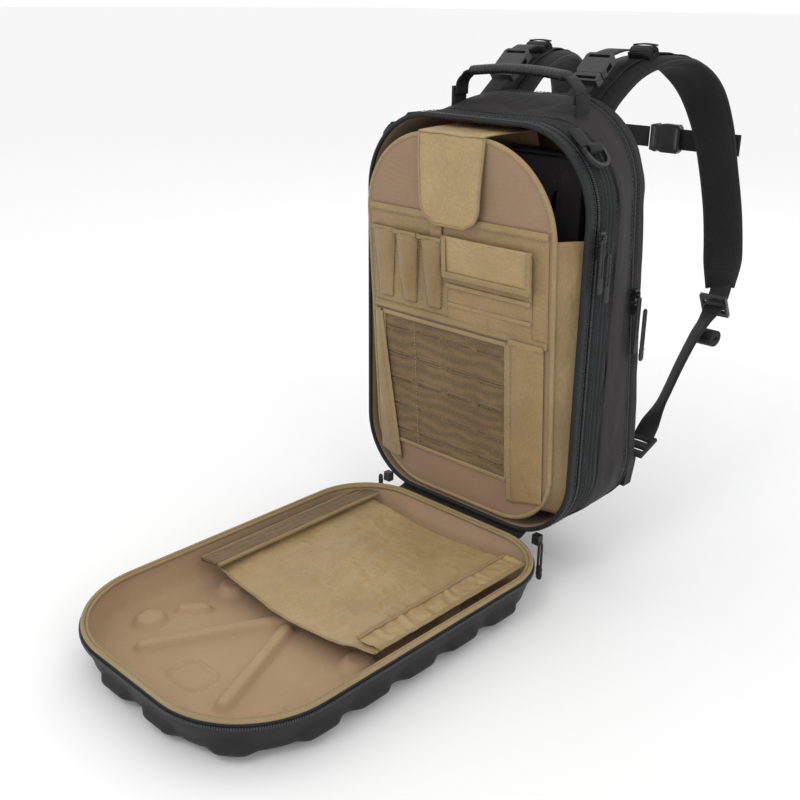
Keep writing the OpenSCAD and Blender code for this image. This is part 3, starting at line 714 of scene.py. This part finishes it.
# a stiff bound strip with hook tape lies along the far long side
hookLook = {"width": 30, "thick": 3.6, "lean": 0.12, "binding": 2.3,
            "path": [(-119, 196, 41.4), (-118, 150, 42.4), (-116, 60, 43), (-115, -10, 43.4), (-113, -46, 44.2)]}
hook = ribbonAlong(inMetres(hookLook["path"]), hookLook["width"] * mm, hookLook["thick"] * mm,
                   Vector((1, 0, hookLook["lean"])), 3 * mm)
crumple(hook, 0.7 * mm, 30, seed=5.0)
finishPiece("hookStrip", hook, "tanLoop", "lid", ("lid_hook_strip",))
hookTrim = bmesh.new()
for side in (-14.8, 14.8):
    edge = [Vector((x + side, y, z + side * hookLook["lean"])) * mm for x, y, z in hookLook["path"]]
    mergeInto(hookTrim, rod(smoothPath(edge, 4 * mm), xWay, disc(hookLook["binding"] * mm)))
finishPiece("hookStripBinding", hookTrim, "tanTape", "lid")

# the gathered band along the near long side
bandLook = {"edge": 97, "wide": 31, "from": -33, "length": 219, "z": 43.2, "rise": 1.8, "pucker": 2.4}


def bandPoint(u, v):
    look = bandLook
    pucker = sin(v * 58 + 5 * wobble(u, v * 9, 0)) * (0.4 + wobble(1, v * 14, u * 2))
    x = look["edge"] + look["wide"] * u + 2.0 * wobble(v * 17, 3, 0) * (1 - u)
    fold = look["pucker"] * pucker + 1.6 * wobble(u * 3, v * 26, 1)
    z = look["z"] + look["rise"] * u + fold * sin(pi * u) ** 0.6
    return Vector((x, look["from"] + look["length"] * v, z)) * mm


band = clothGrid(24, 220, bandPoint)
finishPiece("gatheredBand", thicken(band, 1.2 * mm), "highlitPocketNylon", "lid")
edgeHem = [pocketPoint(i / 40, 0.0, 0.5) for i in range(41)]
hem = rod(edgeHem, yWay, disc(1.5 * mm, 8, 0.7))
for u in (0.02, 0.97):
    line = [bandPoint(u, k / 60) + Vector((0, 0, 0.0008)) for k in range(61)]
    mergeInto(hem, rod(line, xWay, ribbonSection(5 * mm, 1.4 * mm)))
finishPiece("pocketHem", hem, "tanTape", "lid")
print("lid ready")


# the divider, in its own frame: x across, h up the face and d out of its front
dividerLook = {"lean": radians(4), "foot": Vector((0, 229, 65)) * mm, "thick": 4}


def onDivider(x, h, d=0.0):
    lean = dividerLook["lean"]
    y, z = -(dividerLook["thick"] + d) * mm, h * mm
    foot = dividerLook["foot"]
    return foot + Vector((x * mm, y * cos(lean) - z * sin(lean), y * sin(lean) + z * cos(lean)))


dividerOut = (onDivider(0, 0, 1) - onDivider(0, 0, 0)).normalized()
dividerLine = evenOutline(125, 125, 410, 68, 92, 360)


def dividerRing(inset, d):
    return [onDivider(p.x - n.x * inset, p.y - n.y * inset, d) for p, n in dividerLine]


board = ringSkin([dividerRing(t, d) for t, d in ((60, -4), (20, -4), (1, -4), (0, -3.6), (0, -0.4), (1, 0), (12, 0.1),
                                                 (30, 0.5), (60, 0.6))], True, True)
finishPiece("dividerBoard", board, "tanFace", "divider", ("divider_board",))
binding = beadLoop(dividerRing(-0.2, -1.6)[::2], 2.9 * mm, 10)
finishPiece("dividerBinding", binding, "tanTape", "divider", ("divider_binding",))


def clothPatch(low, high, lift, cells, puff=0.0, droop=0.0, seed=0.0, crease=0.7, outline=None):
    # a pocket front on the divider: held at its sides and foot, slack at its mouth
    (x0, h0), (x1, h1) = low, high

    def place(u, v):
        x, h = x0 + u * (x1 - x0), h0 + v * (h1 - h0)
        if outline:
            x, h = outline(u, v)
        swell = puff * (sin(pi * u) ** 0.7) * (sin(pi * (0.08 + 0.84 * v) / 1.35))
        wrinkle = crease * (wobble(x * 0.035, h * 0.02, seed) + creases(x, h, seed))
        return onDivider(x, h - droop * sin(pi * u) * v, lift + swell + max(-0.5, wrinkle) + 0.3)

    return thicken(clothGrid(cells[0], cells[1], place), 0.7 * mm)


def edgeTape(x0, h0, x1, h1, d, width=7):
    path = [onDivider(x0, h0, d), onDivider((x0 + x1) / 2, (h0 + h1) / 2, d + 0.2), onDivider(x1, h1, d)]
    along = (path[-1] - path[0]).normalized()
    return ribbonAlong(path, width * mm, 1.1 * mm, along.cross(dividerOut), 6 * mm)


threads, tapes = bmesh.new(), bmesh.new()


def layTape(*place):
    mergeInto(tapes, edgeTape(*place))


def sewDivider(points, d):
    path = smoothPath([onDivider(x, h, d) for x, h in points], 8 * mm)
    mergeInto(threads, stitchLine(path, lambda i: dividerOut, 4 * mm, 2.6 * mm, 0.55 * mm, 0.3 * mm))


panel = clothPatch((-121, 212), (121, 330), 0.6, (60, 30), 0.4, crease=0.5, seed=1)
layTape(-121, 327, 121, 327, 2.4, 8)
layTape(-121, 215, 121, 215, 2.0, 8)
layTape(-23, 300, -23, 350, 3.4, 16)
finishPiece("organiserPanel", panel, "tanNylon", "divider", ("organiser_panel",))
sewDivider([(-118, 323.5), (0, 323.5), (118, 323.5)], 3)
sewDivider([(-118, 218.5), (0, 218.5), (118, 218.5)], 3)

sleeves = bmesh.new()
for i, (centre, puff, tapeLift) in enumerate(((-102, 3.6, 4.2), (-66, 8.6, 7.4), (-30, 9.4, 8.0))):
    mergeInto(sleeves, clothPatch((centre - 16, 226), (centre + 16, 306), 1.6, (26, 30), puff, 3.0, i * 3.0, 1.0,
                                  lambda u, v: (centre + (2 * u - 1) * (9.5 + 8.3 * v), 226 + 80 * v)))
    layTape(centre - 17, 304, centre + 17, 304, tapeLift, 5)
    for side in (-1, 1):
        sewDivider([(centre + side * 10.2, 228), (centre + side * 17.9, 300)], 2.4)
finishPiece("penSleeves", sleeves, "tanNylon", "divider", ("pen_sleeves",))

tiers = bmesh.new()
for low, high, lift, rows, puff, droop, seed in ((256, 304, 2, 18, 3.4, 0.5, 7.0), (234, 258, 1.8, 12, 2.2, 1.2, 8.0),
                                                 (213, 236, 1.4, 12, 1.6, 1.2, 9.0)):
    mergeInto(tiers, clothPatch((-10, low), (102, high), lift, (40, rows), puff, droop, seed))
layTape(-10, 256, 102, 256, 4.4, 5)
layTape(-10, 235, 102, 235, 3.4, 5)
finishPiece("flapPocket", tiers, "tanNylon", "divider", ("flap_pocket",))
sewDivider([(-8, 253), (46, 252.5), (100, 253)], 4.8)
sewDivider([(46, 216), (46, 252)], 3.6)

flap = clothPatch((-12, 266), (104, 310), 6.2, (44, 20), 1.2, 0.0, 11.0, 0.6)
pocketFlap = finishPiece("pocketFlap", flap, "highlitPocketNylon", "flap", ("pocket_flap",))
flapTrim = edgeTape(-11.5, 269, 103.5, 269, 8.6, 7)
for x in (-9, 101):
    mergeInto(flapTrim, edgeTape(x, 267, x, 309, 8.4, 6))
finishPiece("flapTrim", flapTrim, "tanTape", "flap")

# loop panel with rows of bound slots, each split in the cloth and shadowed behind
slotLook = {"low": (-108, 48), "size": (178, 158), "columns": 4, "rows": 5, "slot": (31, 0.8)}
(panelX, panelH), (panelW, panelTall) = slotLook["low"], slotLook["size"]


def makeSlotPanel():
    bm = bmesh.new()
    bmesh.ops.create_grid(bm, x_segments=89, y_segments=118, size=0.5)
    pitchX, pitchH = panelW / slotLook["columns"], panelTall / slotLook["rows"]
    for vert in bm.verts:
        x, h = (vert.co.x + 0.5) * panelW, (vert.co.y + 0.5) * panelTall
        sx = abs((x % pitchX) - pitchX / 2) - slotLook["slot"][0] / 2
        sh = (h % pitchH) - pitchH / 2
        lip = bell(sh, 1.4, 3.2) * bell(max(0.0, sx), 0.2, 3.0)
        gap = bell(sh, 0.4, 1.1) * bell(max(0.0, sx), 0.1, 1.2)
        wave = 0.5 * noise.noise(Vector((x, h, 3)) * 0.03)
        vert.co = onDivider(panelX + x, panelH + h, 1.6 + 1.25 * lip - 2.6 * gap + wave)
    holes = []
    for face in bm.faces:
        at = face.calc_center_median()
        h = (at - onDivider(0, panelH)).dot((onDivider(0, 1) - onDivider(0, 0)).normalized()) / mm
        x = at.x / mm - panelX
        besideX, besideH = abs((x % pitchX) - pitchX / 2), abs((h % pitchH) - pitchH / 2)
        if besideX < slotLook["slot"][0] / 2 and besideH < slotLook["slot"][1]:
            holes.append(face)
    bmesh.ops.delete(bm, geom=holes, context="FACES")
    return thicken(bm, 1.1 * mm)


finishPiece("slotPanel", makeSlotPanel(), "tanLoop", "divider", ("slot_panel",))
for x0, h0, x1, h1 in ((-108, 206, 70, 206), (-108, 48, 70, 48), (-108, 48, -108, 206), (70, 48, 70, 206)):
    layTape(x0, h0, x1, h1, 2.4, 5)
sewDivider([(-60, 50), (-60, 204)], 2.7)

tool = clothPatch((74, 22), (118, 212), 2.4, (22, 60), 2.8, 2.0, 21.0, 0.9,
                  lambda u, v: (74 + 44 * u, 22 + 12 * u * (1 - v) + 190 * v))
layTape(74, 211, 118, 211, 4.4, 7)
layTape(73.5, 24, 73.5, 210, 3.2, 5)
finishPiece("toolPocket", tool, "tanNylon", "divider", ("tool_pocket",))
sewDivider([(77, 26), (77, 207)], 4)

slant = clothPatch((-121, 22), (-88, 238), 2.2, (18, 70), 2.6, 0.0, 31.0, 0.9,
                   lambda u, v: (-121 + u * (33 - 24 * v), 30 - 8 * u * (1 - v) + (178 + 30) * v * 0.86))
layTape(-90, 26, -111, 206, 4.4, 6)
finishPiece("slantPocket", slant, "tanNylon", "divider", ("slant_pocket",))
finishPiece("dividerTapes", tapes, "tanTape", "divider")
finishPiece("dividerStitching", threads, "stitchThread", "divider")
print("divider ready")


# the padded sleeve, the tongue and the gussets
def slabRing(half, low, high, radius, y, inset, count=160):
    line = evenOutline(half, half, high - low, radius, radius, count)
    return [Vector((p.x - n.x * inset, y, low + p.y - n.y * inset)) for p, n in line]


def slabRings(half, low, high, radius, stations):
    return [[p * mm for p in slabRing(half, low, high, radius, y, inset)] for y, inset in stations]


sleeveLook = {"half": 116, "low": 78, "high": 460, "radius": 26}
sleeve = ringSkin(slabRings(**sleeveLook, stations=((290, 60), (289, 20), (287.5, 5), (285, 1), (281, 0), (263, 0),
                                                    (259.5, 1.4), (258, 5), (256.8, 18), (256.2, 55))), True, True)
crumple(sleeve, 1.4 * mm, 14, seed=2.0)
paddedSleeve = finishPiece("paddedSleeve", sleeve, "blackCordura", "pack", ("padded_sleeve",))
sleeveTape = ringSkin(sweep(slabRings(**sleeveLook, stations=((259, -0.2),))[0], yWay,
                            lambda i: ribbonSection(9 * mm, 2 * mm), closed=True), closed=True)
finishPiece("sleeveBinding", sleeveTape, "blackWebbing", "pack")

gussetLook = {"low": 86, "tall": 300, "sewnY": 235, "belly": 2.2}
sides = bmesh.new()
for s in (-1, 1):
    def gussetPoint(u, v, s=s):
        z = gussetLook["low"] + gussetLook["tall"] * v
        frontY = 229 - (z - 65) * tan(dividerLook["lean"]) + 1.5
        foot = max(0.0, 130 - z)
        inner = 55 + sqrt(69 ** 2 - min(foot + 1.5, 60) ** 2)
        outer = 72 + sqrt(72.8 ** 2 - min(foot, 66) ** 2)
        x = inner + (outer - inner) * u
        y = frontY + (gussetLook["sewnY"] - frontY) * u + gussetLook["belly"] * sin(pi * u)
        y += 0.8 * wobble(u * 3, z * 0.03, s)
        return Vector((s * x, y, z)) * mm
    mergeInto(sides, thicken(clothGrid(12, 70, gussetPoint), 0.6 * mm))
gussets = finishPiece("sideGussets", sides, "tanNylon", None, ("sleeve_gussets",))
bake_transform(gussets)

tongueLook = {"half": 43, "front": 192.4, "top": 477, "drop": 92}


def tonguePoint(u, v):
    look = tongueLook
    low = max(0.0, (v - 0.72) / 0.28)
    taper = (1 - 0.10 * v) * (1 - 0.5 * (1 - sqrt(1 - min(1.0, low) ** 2)))
    x = (2 * u - 1) * look["half"] * taper
    z = look["top"] - v * look["drop"]
    y = look["front"] - 1.6 * sin(pi * v) - 1.4 * creases(x, z, 5) + noise.noise(Vector((x, z, 0)) * 0.03)
    return Vector((x, y + 1.0, z)) * mm


tongue = thicken(clothGrid(34, 36, tonguePoint), 2.2 * mm)
tongueLeaf = finishPiece("tongueLeaf", tongue, "highlitPocketNylon", "tongue", ("tongue_flap",))
rim = [tonguePoint(0, v / 12) for v in range(13)] + [tonguePoint(u / 10, 1) for u in range(1, 10)] + \
      [tonguePoint(1, 1 - v / 12) for v in range(13)]
tongueTrim = rod([p + Vector((0, 0.0003, 0)) for p in rim], yWay, disc(1.5 * mm))
finishPiece("tongueTrim", tongueTrim, "tanTape", "tongue")


bridgeLook = {"half": 43, "from": 192, "length": 92, "z": 478.2, "sewnFrom": 0.93}


def bridgePoint(u, v):
    # runs back over the divider's top, dips, and is sewn to the ceiling of the body
    look = bridgeLook
    x = (2 * u - 1) * look["half"]
    y = look["from"] + v * look["length"]
    z = look["z"] + 1.6 * sin(v * pi) + 0.9 * wobble(x * 0.04, v * 4, 9)
    if v > look["sewnFrom"]:
        z -= (v - look["sewnFrom"]) / 0.07 * 16
    return Vector((x, y, z)) * mm


finishPiece("tongueBridge", thicken(clothGrid(26, 40, bridgePoint), 1.6 * mm), "highlitPocketNylon", "pack",
            ("tongue_strap",))
print("tongue ready")


# carrying handle
handleLook = {"y": 299, "rise": ((78, 505), (77, 518), (71, 525), (62, 531), (30, 534)), "top": 535,
              "width": 20, "thick": 2.2}
handlePath = [(-x, handleLook["y"], z) for x, z in handleLook["rise"]] + [(0, handleLook["y"], handleLook["top"])]
handlePath += [(x, handleLook["y"], z) for x, z in reversed(handleLook["rise"])]
webbing = ribbonAlong(inMetres(handlePath), handleLook["width"] * mm, handleLook["thick"] * mm, yWay, 3 * mm)
finishPiece("handleWebbing", webbing, "blackWebbing", "handle", ("handle_webbing",))
gripPath = smoothPath(inMetres(handlePath[3:8]), 0.75 * mm)


def gripSection(i):
    # knurled rings that swell and pinch along an oval grip
    at = i / (len(gripPath) - 1)
    end = min(1.0, 0.55 + 14 * min(at, 1 - at))
    knurl = 0.55 + 0.45 * cos(i * 2 * pi / 6.2)
    width, height = (10.4 + 1.2 * knurl) * end, (4.1 + 1.1 * knurl) * end
    return [(width * mm * copysign(abs(cos(a)) ** 0.8, cos(a)), height * mm *
             copysign(abs(sin(a)) ** 0.8, sin(a))) for a in (2 * pi * k / 28 for k in range(28))]


finishPiece("handleGrip", ringSkin(sweep(gripPath, yWay, gripSection), True, True), "gripRubber",
            "handle", ("handle_grip",))

# shoulder straps, their webbing and the back pads
strapLine = [(55, 118, 488), (56, 138, 508), (60, 172, 530), (68, 215, 541), (79, 258, 536), (91, 292, 510),
             (102, 311, 468), (112, 318, 420), (123, 320, 368), (134, 312, 318), (143, 296, 284)]
strapLook = {"wide": 57, "narrow": 43, "thick": 13.2, "binding": 2.4}


def hung(points, s=1):
    return [Vector((s * x, y + hinge.y / mm, z)) * mm for x, y, z in points]


def strapWidth(u):
    wide = strapLook["wide"] - (strapLook["wide"] - strapLook["narrow"]) * ease((u - 0.3) / 0.4)
    return wide * (1 - 0.3 * ease((u - 0.9) / 0.1))


def strapSection(path, i):
    u = i / (len(path) - 1)
    end = min(1.0, 0.35 + min(u, 1 - u) * 16)
    w, t = strapWidth(u) * min(1, end + 0.25) / 2 * mm, strapLook["thick"] * end / 2 * mm
    ring = []
    for k in range(40):
        a = 2 * pi * k / 40
        c, q = cos(a), sin(a)
        ring.append((w * copysign(abs(c) ** 0.55, c), t * copysign(abs(q) ** 0.8, q)))
    return ring


threadsBlack = bmesh.new()
for s, side in ((1, "right"), (-1, "left")):
    path = smoothPath(hung(strapLine, s), 5 * mm)
    across = Vector((1, 0.12 * s, 0))
    pad = ringSkin(sweep(path, across, lambda i: strapSection(path, i)), True, True)
    crumple(pad, 0.9 * mm, 26, seed=4.0 + s)
    strap = finishPiece(f"shoulderStrap.{side}", pad, "spacerMesh", "pack", (f"shoulder_strap_{side}",))
    # bound edges and a strip of webbing sewn down the outer face
    trim = bmesh.new()
    for edge in (-1, 1):
        line = []
        for i, at in enumerate(path[1:-1], 1):
            along = (path[i + 1] - path[i - 1]).normalized()
            sideways = (across - along * across.dot(along)).normalized()
            line.append(at + sideways * edge * (strapWidth(i / (len(path) - 1)) / 2 - 0.4) * mm)
        mergeInto(trim, rod(line, across, disc(strapLook["binding"] * mm)))
    line = []
    for i, at in enumerate(path):
        along = (path[min(i + 1, len(path) - 1)] - path[max(i - 1, 0)]).normalized()
        sideways = (across - along * across.dot(along)).normalized()
        up = along.cross(sideways) * s
        if up.y + up.z < 0:
            up = -up
        puff = 1.8 * abs(sin(pi * (i - 10) / 9))
        line.append(at + up * (strapLook["thick"] / 2 + 0.4 + puff) * mm)
    mergeInto(trim, rod(line[4:-2], across, ribbonSection(25 * mm, 1.8 * mm)))
    for start in range(10, len(line) - 10, 9):
        bar = [line[start] + across.normalized() * q * mm for q in (-11, 0, 11)]
        up = (line[start] - path[start]).normalized()
        mergeInto(threadsBlack, stitchLine(bar, lambda i: up, 2.4 * mm, 1.8 * mm, 0.7 * mm, 1.1 * mm))
    finishPiece(f"strapTrim.{side}", trim, "blackWebbing", "pack")


def roll(centre, across, radius, turns, width):
    # a spare end rolled up on itself
    side = across.normalized()
    a = side.cross(zWay).normalized()
    b = side.cross(a)
    path = []
    for k in range(int(turns * 18) + 1):
        angle = 2 * pi * k / 18
        r = radius - 2.3 * mm * k / 18
        path.append(centre + (a * cos(angle) * 1.35 + b * sin(angle)) * r)
    return rod(path, side, ribbonSection(width, 1.8 * mm))


lifters, lower = bmesh.new(), bmesh.new()
for s in (-1, 1):
    for points in ([(55, 80, 496), (55, 92, 503), (55, 114, 520)], [(56, 146, 550), (60, 164, 554), (66, 186, 553)]):
        mergeInto(lifters, ribbonAlong(hung(points, s), 25 * mm, 1.9 * mm, xWay, 4 * mm))
    mergeInto(lifters, roll(hung([(70, 200, 551)], s)[0], xWay, 7.8 * mm, 2.6, 26 * mm))
    band = ribbonAlong(hung([(56.5, 203, 558.5), (70, 203, 559.6), (83.5, 203, 558.5)], s), 7 * mm, 1.6 * mm,
                       yWay, 4 * mm)
    mergeInto(lifters, band)
    run = [(142, 305, 300), (146, 291, 283), (148, 278, 270), (149, 262, 259), (149, 236, 242), (148, 210, 214),
           (146, 186, 180), (142, 166, 150), (140, 155, 132)]
    path = smoothPath(hung(run, s), 4 * mm)

    def twisted(i, s=s, last=len(path) - 1):
        turn = ease((i / last - 0.14) / 0.2) * ease((0.97 - i / last) / 0.2)
        return Vector((s, 0.1, 0)).normalized().lerp(Vector((s * 0.69, -0.72, 0)), turn)
    mergeInto(lower, rod(path, twisted, ribbonSection(24 * mm, 1.9 * mm)))
    mergeInto(lower, roll(hung([(150, 262, 236)], s)[0], xWay, 9.5 * mm, 3.0, 25 * mm))
finishPiece("lifterWebbing", lifters, "blackWebbing", "pack", ("lifter_webbing",))
finishPiece("lowerWebbing", lower, "blackWebbing", "pack", ("lower_webbing",))

sternumLook = {"y": 561, "z": 446, "width": 24.5, "thick": 1.9, "runs": ((-126, -122, -60, 5), (49, 60, 90, 126))}
sternum = bmesh.new()
for run in sternumLook["runs"]:
    points = [Vector((x, sternumLook["y"], sternumLook["z"])) * mm for x in run]
    mergeInto(sternum, ribbonAlong(points, sternumLook["width"] * mm, sternumLook["thick"] * mm, zWay, 4 * mm))
finishPiece("sternumWebbing", sternum, "blackWebbing", "sternum_strap", ("sternum_webbing",))

pads = bmesh.new()
padLook = {"spots": (((-104, 188), (-12, 424), 26), ((12, 188), (104, 424), 26), ((-108, 80), (108, 170), 34)),
           "layers": ((352.2, 6), (352.4, 1.5), (354.5, 0), (358, 0.4), (360.6, 2.6), (361.8, 6.5), (362.3, 12))}
for (x0, z0), (x1, z1), radius in padLook["spots"]:
    half = (x1 - x0) / 2
    rings = [[p * mm + Vector(((x0 + x1) / 2 * mm, 0, 0)) for p in slabRing(half, z0, z1, radius, y, inset)]
             for y, inset in padLook["layers"] + ((362.5, radius - 2),)]
    mergeInto(pads, ringSkin(rings, True, True))
crumple(pads, 0.9 * mm, 24, seed=6.0, keep=lambda p: ease((p.y - 0.354) / 0.004))
backPads = finishPiece("backPads", pads, "spacerMesh", None, ("back_pads",))
inflate(backPads, cap=4 * mm, keep=lambda p: ease((p.y - 0.3530) / 0.004))
subdivide(backPads)
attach(backPads, "pack")

yoke = ringSkin([[p * mm for p in slabRing(88, 440, 488, 12, y, inset)] for y, inset in
                 ((352, 0), (354.6, 0), (356, 1.2), (356.2, 4), (356.2, 10))], True, True)
finishPiece("strapYoke", yoke, "blackWebbing", "pack", ("strap_yoke",))
for row in (445, 483):
    line = [Vector((x, 356.3, row)) * mm for x in (-82, 0, 82)]
    mergeInto(threadsBlack, stitchLine(line, lambda i: yWay, 4 * mm, 2.6 * mm, 0.7 * mm, 0.4 * mm))

# tabs sewn to the top corners hold the rings, and short ones beside the handle
tabs = bmesh.new()
for s in (-1, 1):
    base = Vector((s * (62 + 88.6 * sin(radians(45))), 252, 404 + 88.6 * cos(radians(45)))) * mm
    down, out = Vector((s, 0, -1)).normalized(), Vector((s, 0, 1)).normalized()
    run = [base + down * x * mm + out * h * mm for x, h in ((-28, 0.4), (-12, 1.4), (-5, 3.0), (-4.0, 7.5), (0, 9.9),
                                                            (4.2, 7.5), (4.2, 3.5), (0.5, 0.7), (-8, 0.6))]
    mergeInto(tabs, rod(smoothPath(run, 2 * mm), yWay, ribbonSection(20 * mm, 1.7 * mm)))
    side = [Vector((s * x, 299, z)) * mm for x, z in ((81.8, 486), (81.8, 500), (81.8, 514))]
    mergeInto(tabs, ribbonAlong(side, 22 * mm, 3.4 * mm, yWay, 5 * mm))
finishPiece("topTabs", tabs, "blackWebbing", "pack", ("top_tabs",))
finishPiece("blackStitching", threadsBlack, "darkThread", "pack")
print("straps ready")


# zip pulls: a cord loop through the slider with a moulded grip
def makePull(name, node, bodyName):
    low, high = boxOf(node)
    mid = (low + high) / 2
    wide = xWay if high.x - low.x > high.y - low.y else yWay
    thin = wide.cross(zWay)
    half = 1.9 * mm
    top, foot = high.z - 1.2 * mm, low.z + 14 * mm
    loop = [mid + wide * a * half + Vector((0, 0, z - mid.z)) for a, z in
            ((0, top), (0.8, top - 1 * mm), (1, top - 4 * mm), (1, (top + foot) / 2), (0.9, foot),
             (-0.9, foot), (-1, (top + foot) / 2), (-1, top - 4 * mm), (-0.8, top - 1 * mm), (0, top))]
    bm = rod(smoothPath(loop, 2 * mm), thin, disc(1.4 * mm))
    count, rings = 24, []
    for z, w, t in ((17, 2.2, 1.4), (16, 3.2, 1.9), (13, 4.1, 2.1), (10, 3.7, 1.9), (7, 4.1, 2.1), (4, 3.8, 2.0),
                    (1.5, 3.4, 1.8), (0.2, 2.2, 1.0)):
        rings.append([Vector((mid.x, mid.y, low.z + z * mm)) + wide * w * mm * cos(2 * pi * k / count)
                      + thin * t * mm * sin(2 * pi * k / count) for k in range(count)])
    mergeInto(bm, ringSkin(rings, True, True))
    return finishPiece(name, bm, "gripRubber", bodyName, (node,))


for row, place in (("side", "upper"), ("side", "lower"), ("rear", "upper"), ("rear", "lower")):
    makePull(f"{row}Pull.{place}", f"{row}_pull_{place}", f"{row}_pull_{place}_body")
for place in ("right", "left"):
    makePull(f"lidPull.{place}", f"lid_pull_{place}", f"lid_pull_{place}_body")

# the cloth hinge between the lid and the body
hingeLook = {"half": 92, "y": 224, "reach": 9, "z": 48.2, "sag": 3.5, "rise": 6.5}


def hingePoint(u, v):
    look = hingeLook
    x = (2 * u - 1) * look["half"]
    angle = v * pi
    y = look["y"] - look["reach"] * cos(angle)
    slack = 1 + 0.2 * wobble(x * 0.05, 0, 0)
    z = look["z"] - look["sag"] * sin(angle) * slack + look["rise"] * v
    return Vector((x, y, z)) * mm


strip = finishPiece("hingeCloth", thicken(clothGrid(50, 14, hingePoint), 1.2 * mm), "blackWebbing", None,
                    ("hinge_strip",))
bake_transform(strip)

# finishes for the parts that keep their moulded shape
kept = {
    "blackPlastic": ("lifter_buckles", "lifter_latches", "ladder_locks", "sternum_buckle", "sternum_latch",
                     "sternum_sliders", "frame_sheet"),
    "blackMetal": ("d_ring_right", "d_ring_left", "side_slider_upper", "side_slider_lower", "rear_slider_upper",
                   "rear_slider_lower", "lid_sliders"),
    "blackCordura": ("lower_tabs",),
}
for finish, nodes in kept.items():
    for node in nodes:
        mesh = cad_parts[node].data
        mesh.materials.clear()
        mesh.materials.append(material[finish])
print("small parts ready")


# floor, light and camera
floorSheet = Sheet("paleFloor")
floorSheet.join("Base Color", (0.92, 0.92, 0.92, 1))
floorSheet.join("Roughness", 0.85)
floorMesh = bpy.data.meshes.new("floor")
bm = bmesh.new()
bmesh.ops.create_grid(bm, x_segments=2, y_segments=2, size=60.0)
bm.to_mesh(floorMesh)
bm.free()
floorMesh.materials.append(floorSheet.material)
floor = bpy.data.objects.new("floor", floorMesh)
bpy.context.scene.collection.objects.link(floor)

world = bpy.data.worlds.new("studio")
bpy.context.scene.world = world
world.use_nodes = True
world.node_tree.nodes["Background"].inputs[0].default_value = (1, 1, 1, 1)
world.node_tree.nodes["Background"].inputs[1].default_value = 1.0

lamps = {
    "key": {"at": (0.2, -1.6, 2.2), "aim": (0, 0.05, 0.15), "power": 9, "size": 0.8},
    "fill": {"at": (2.2, -0.6, 1.4), "aim": (0, 0.2, 0.3), "power": 6, "size": 1.0},
    "back": {"at": (-1.0, 2.0, 1.9), "aim": (0, 0.3, 0.4), "power": 4, "size": 1.0},
}
for name, look in lamps.items():
    light = bpy.data.lights.new(name, "AREA")
    light.energy = look["power"]
    light.size = look["size"]
    lamp = bpy.data.objects.new(name, light)
    lamp.location = look["at"]
    lamp.rotation_euler = (Vector(look["aim"]) - Vector(look["at"])).to_track_quat("-Z", "Y").to_euler()
    bpy.context.scene.collection.objects.link(lamp)

view = {"azimuth": 43.73, "elevation": 21.21, "distance": 0.96417, "target": (0.07063, 0.04992, 0.25275),
        "lens": 46.45, "roll": 0.55}
a, e = radians(view["azimuth"]), radians(view["elevation"])
back = Vector((sin(a) * cos(e), -cos(a) * cos(e), sin(e)))
camera = bpy.data.objects.new("camera", bpy.data.cameras.new("camera"))
camera.data.lens = view["lens"]
camera.data.sensor_width = 36
camera.data.clip_start = 0.01
camera.location = Vector(view["target"]) + back * view["distance"]
camera.rotation_euler = ((-back).to_track_quat("-Z", "Y") @ Matrix.Rotation(radians(view["roll"]), 3, "Z")
                         .to_quaternion()).to_euler()
bpy.context.scene.collection.objects.link(camera)
bpy.context.scene.camera = camera
bpy.context.scene.view_settings.view_transform = "Standard"
print("stage ready")
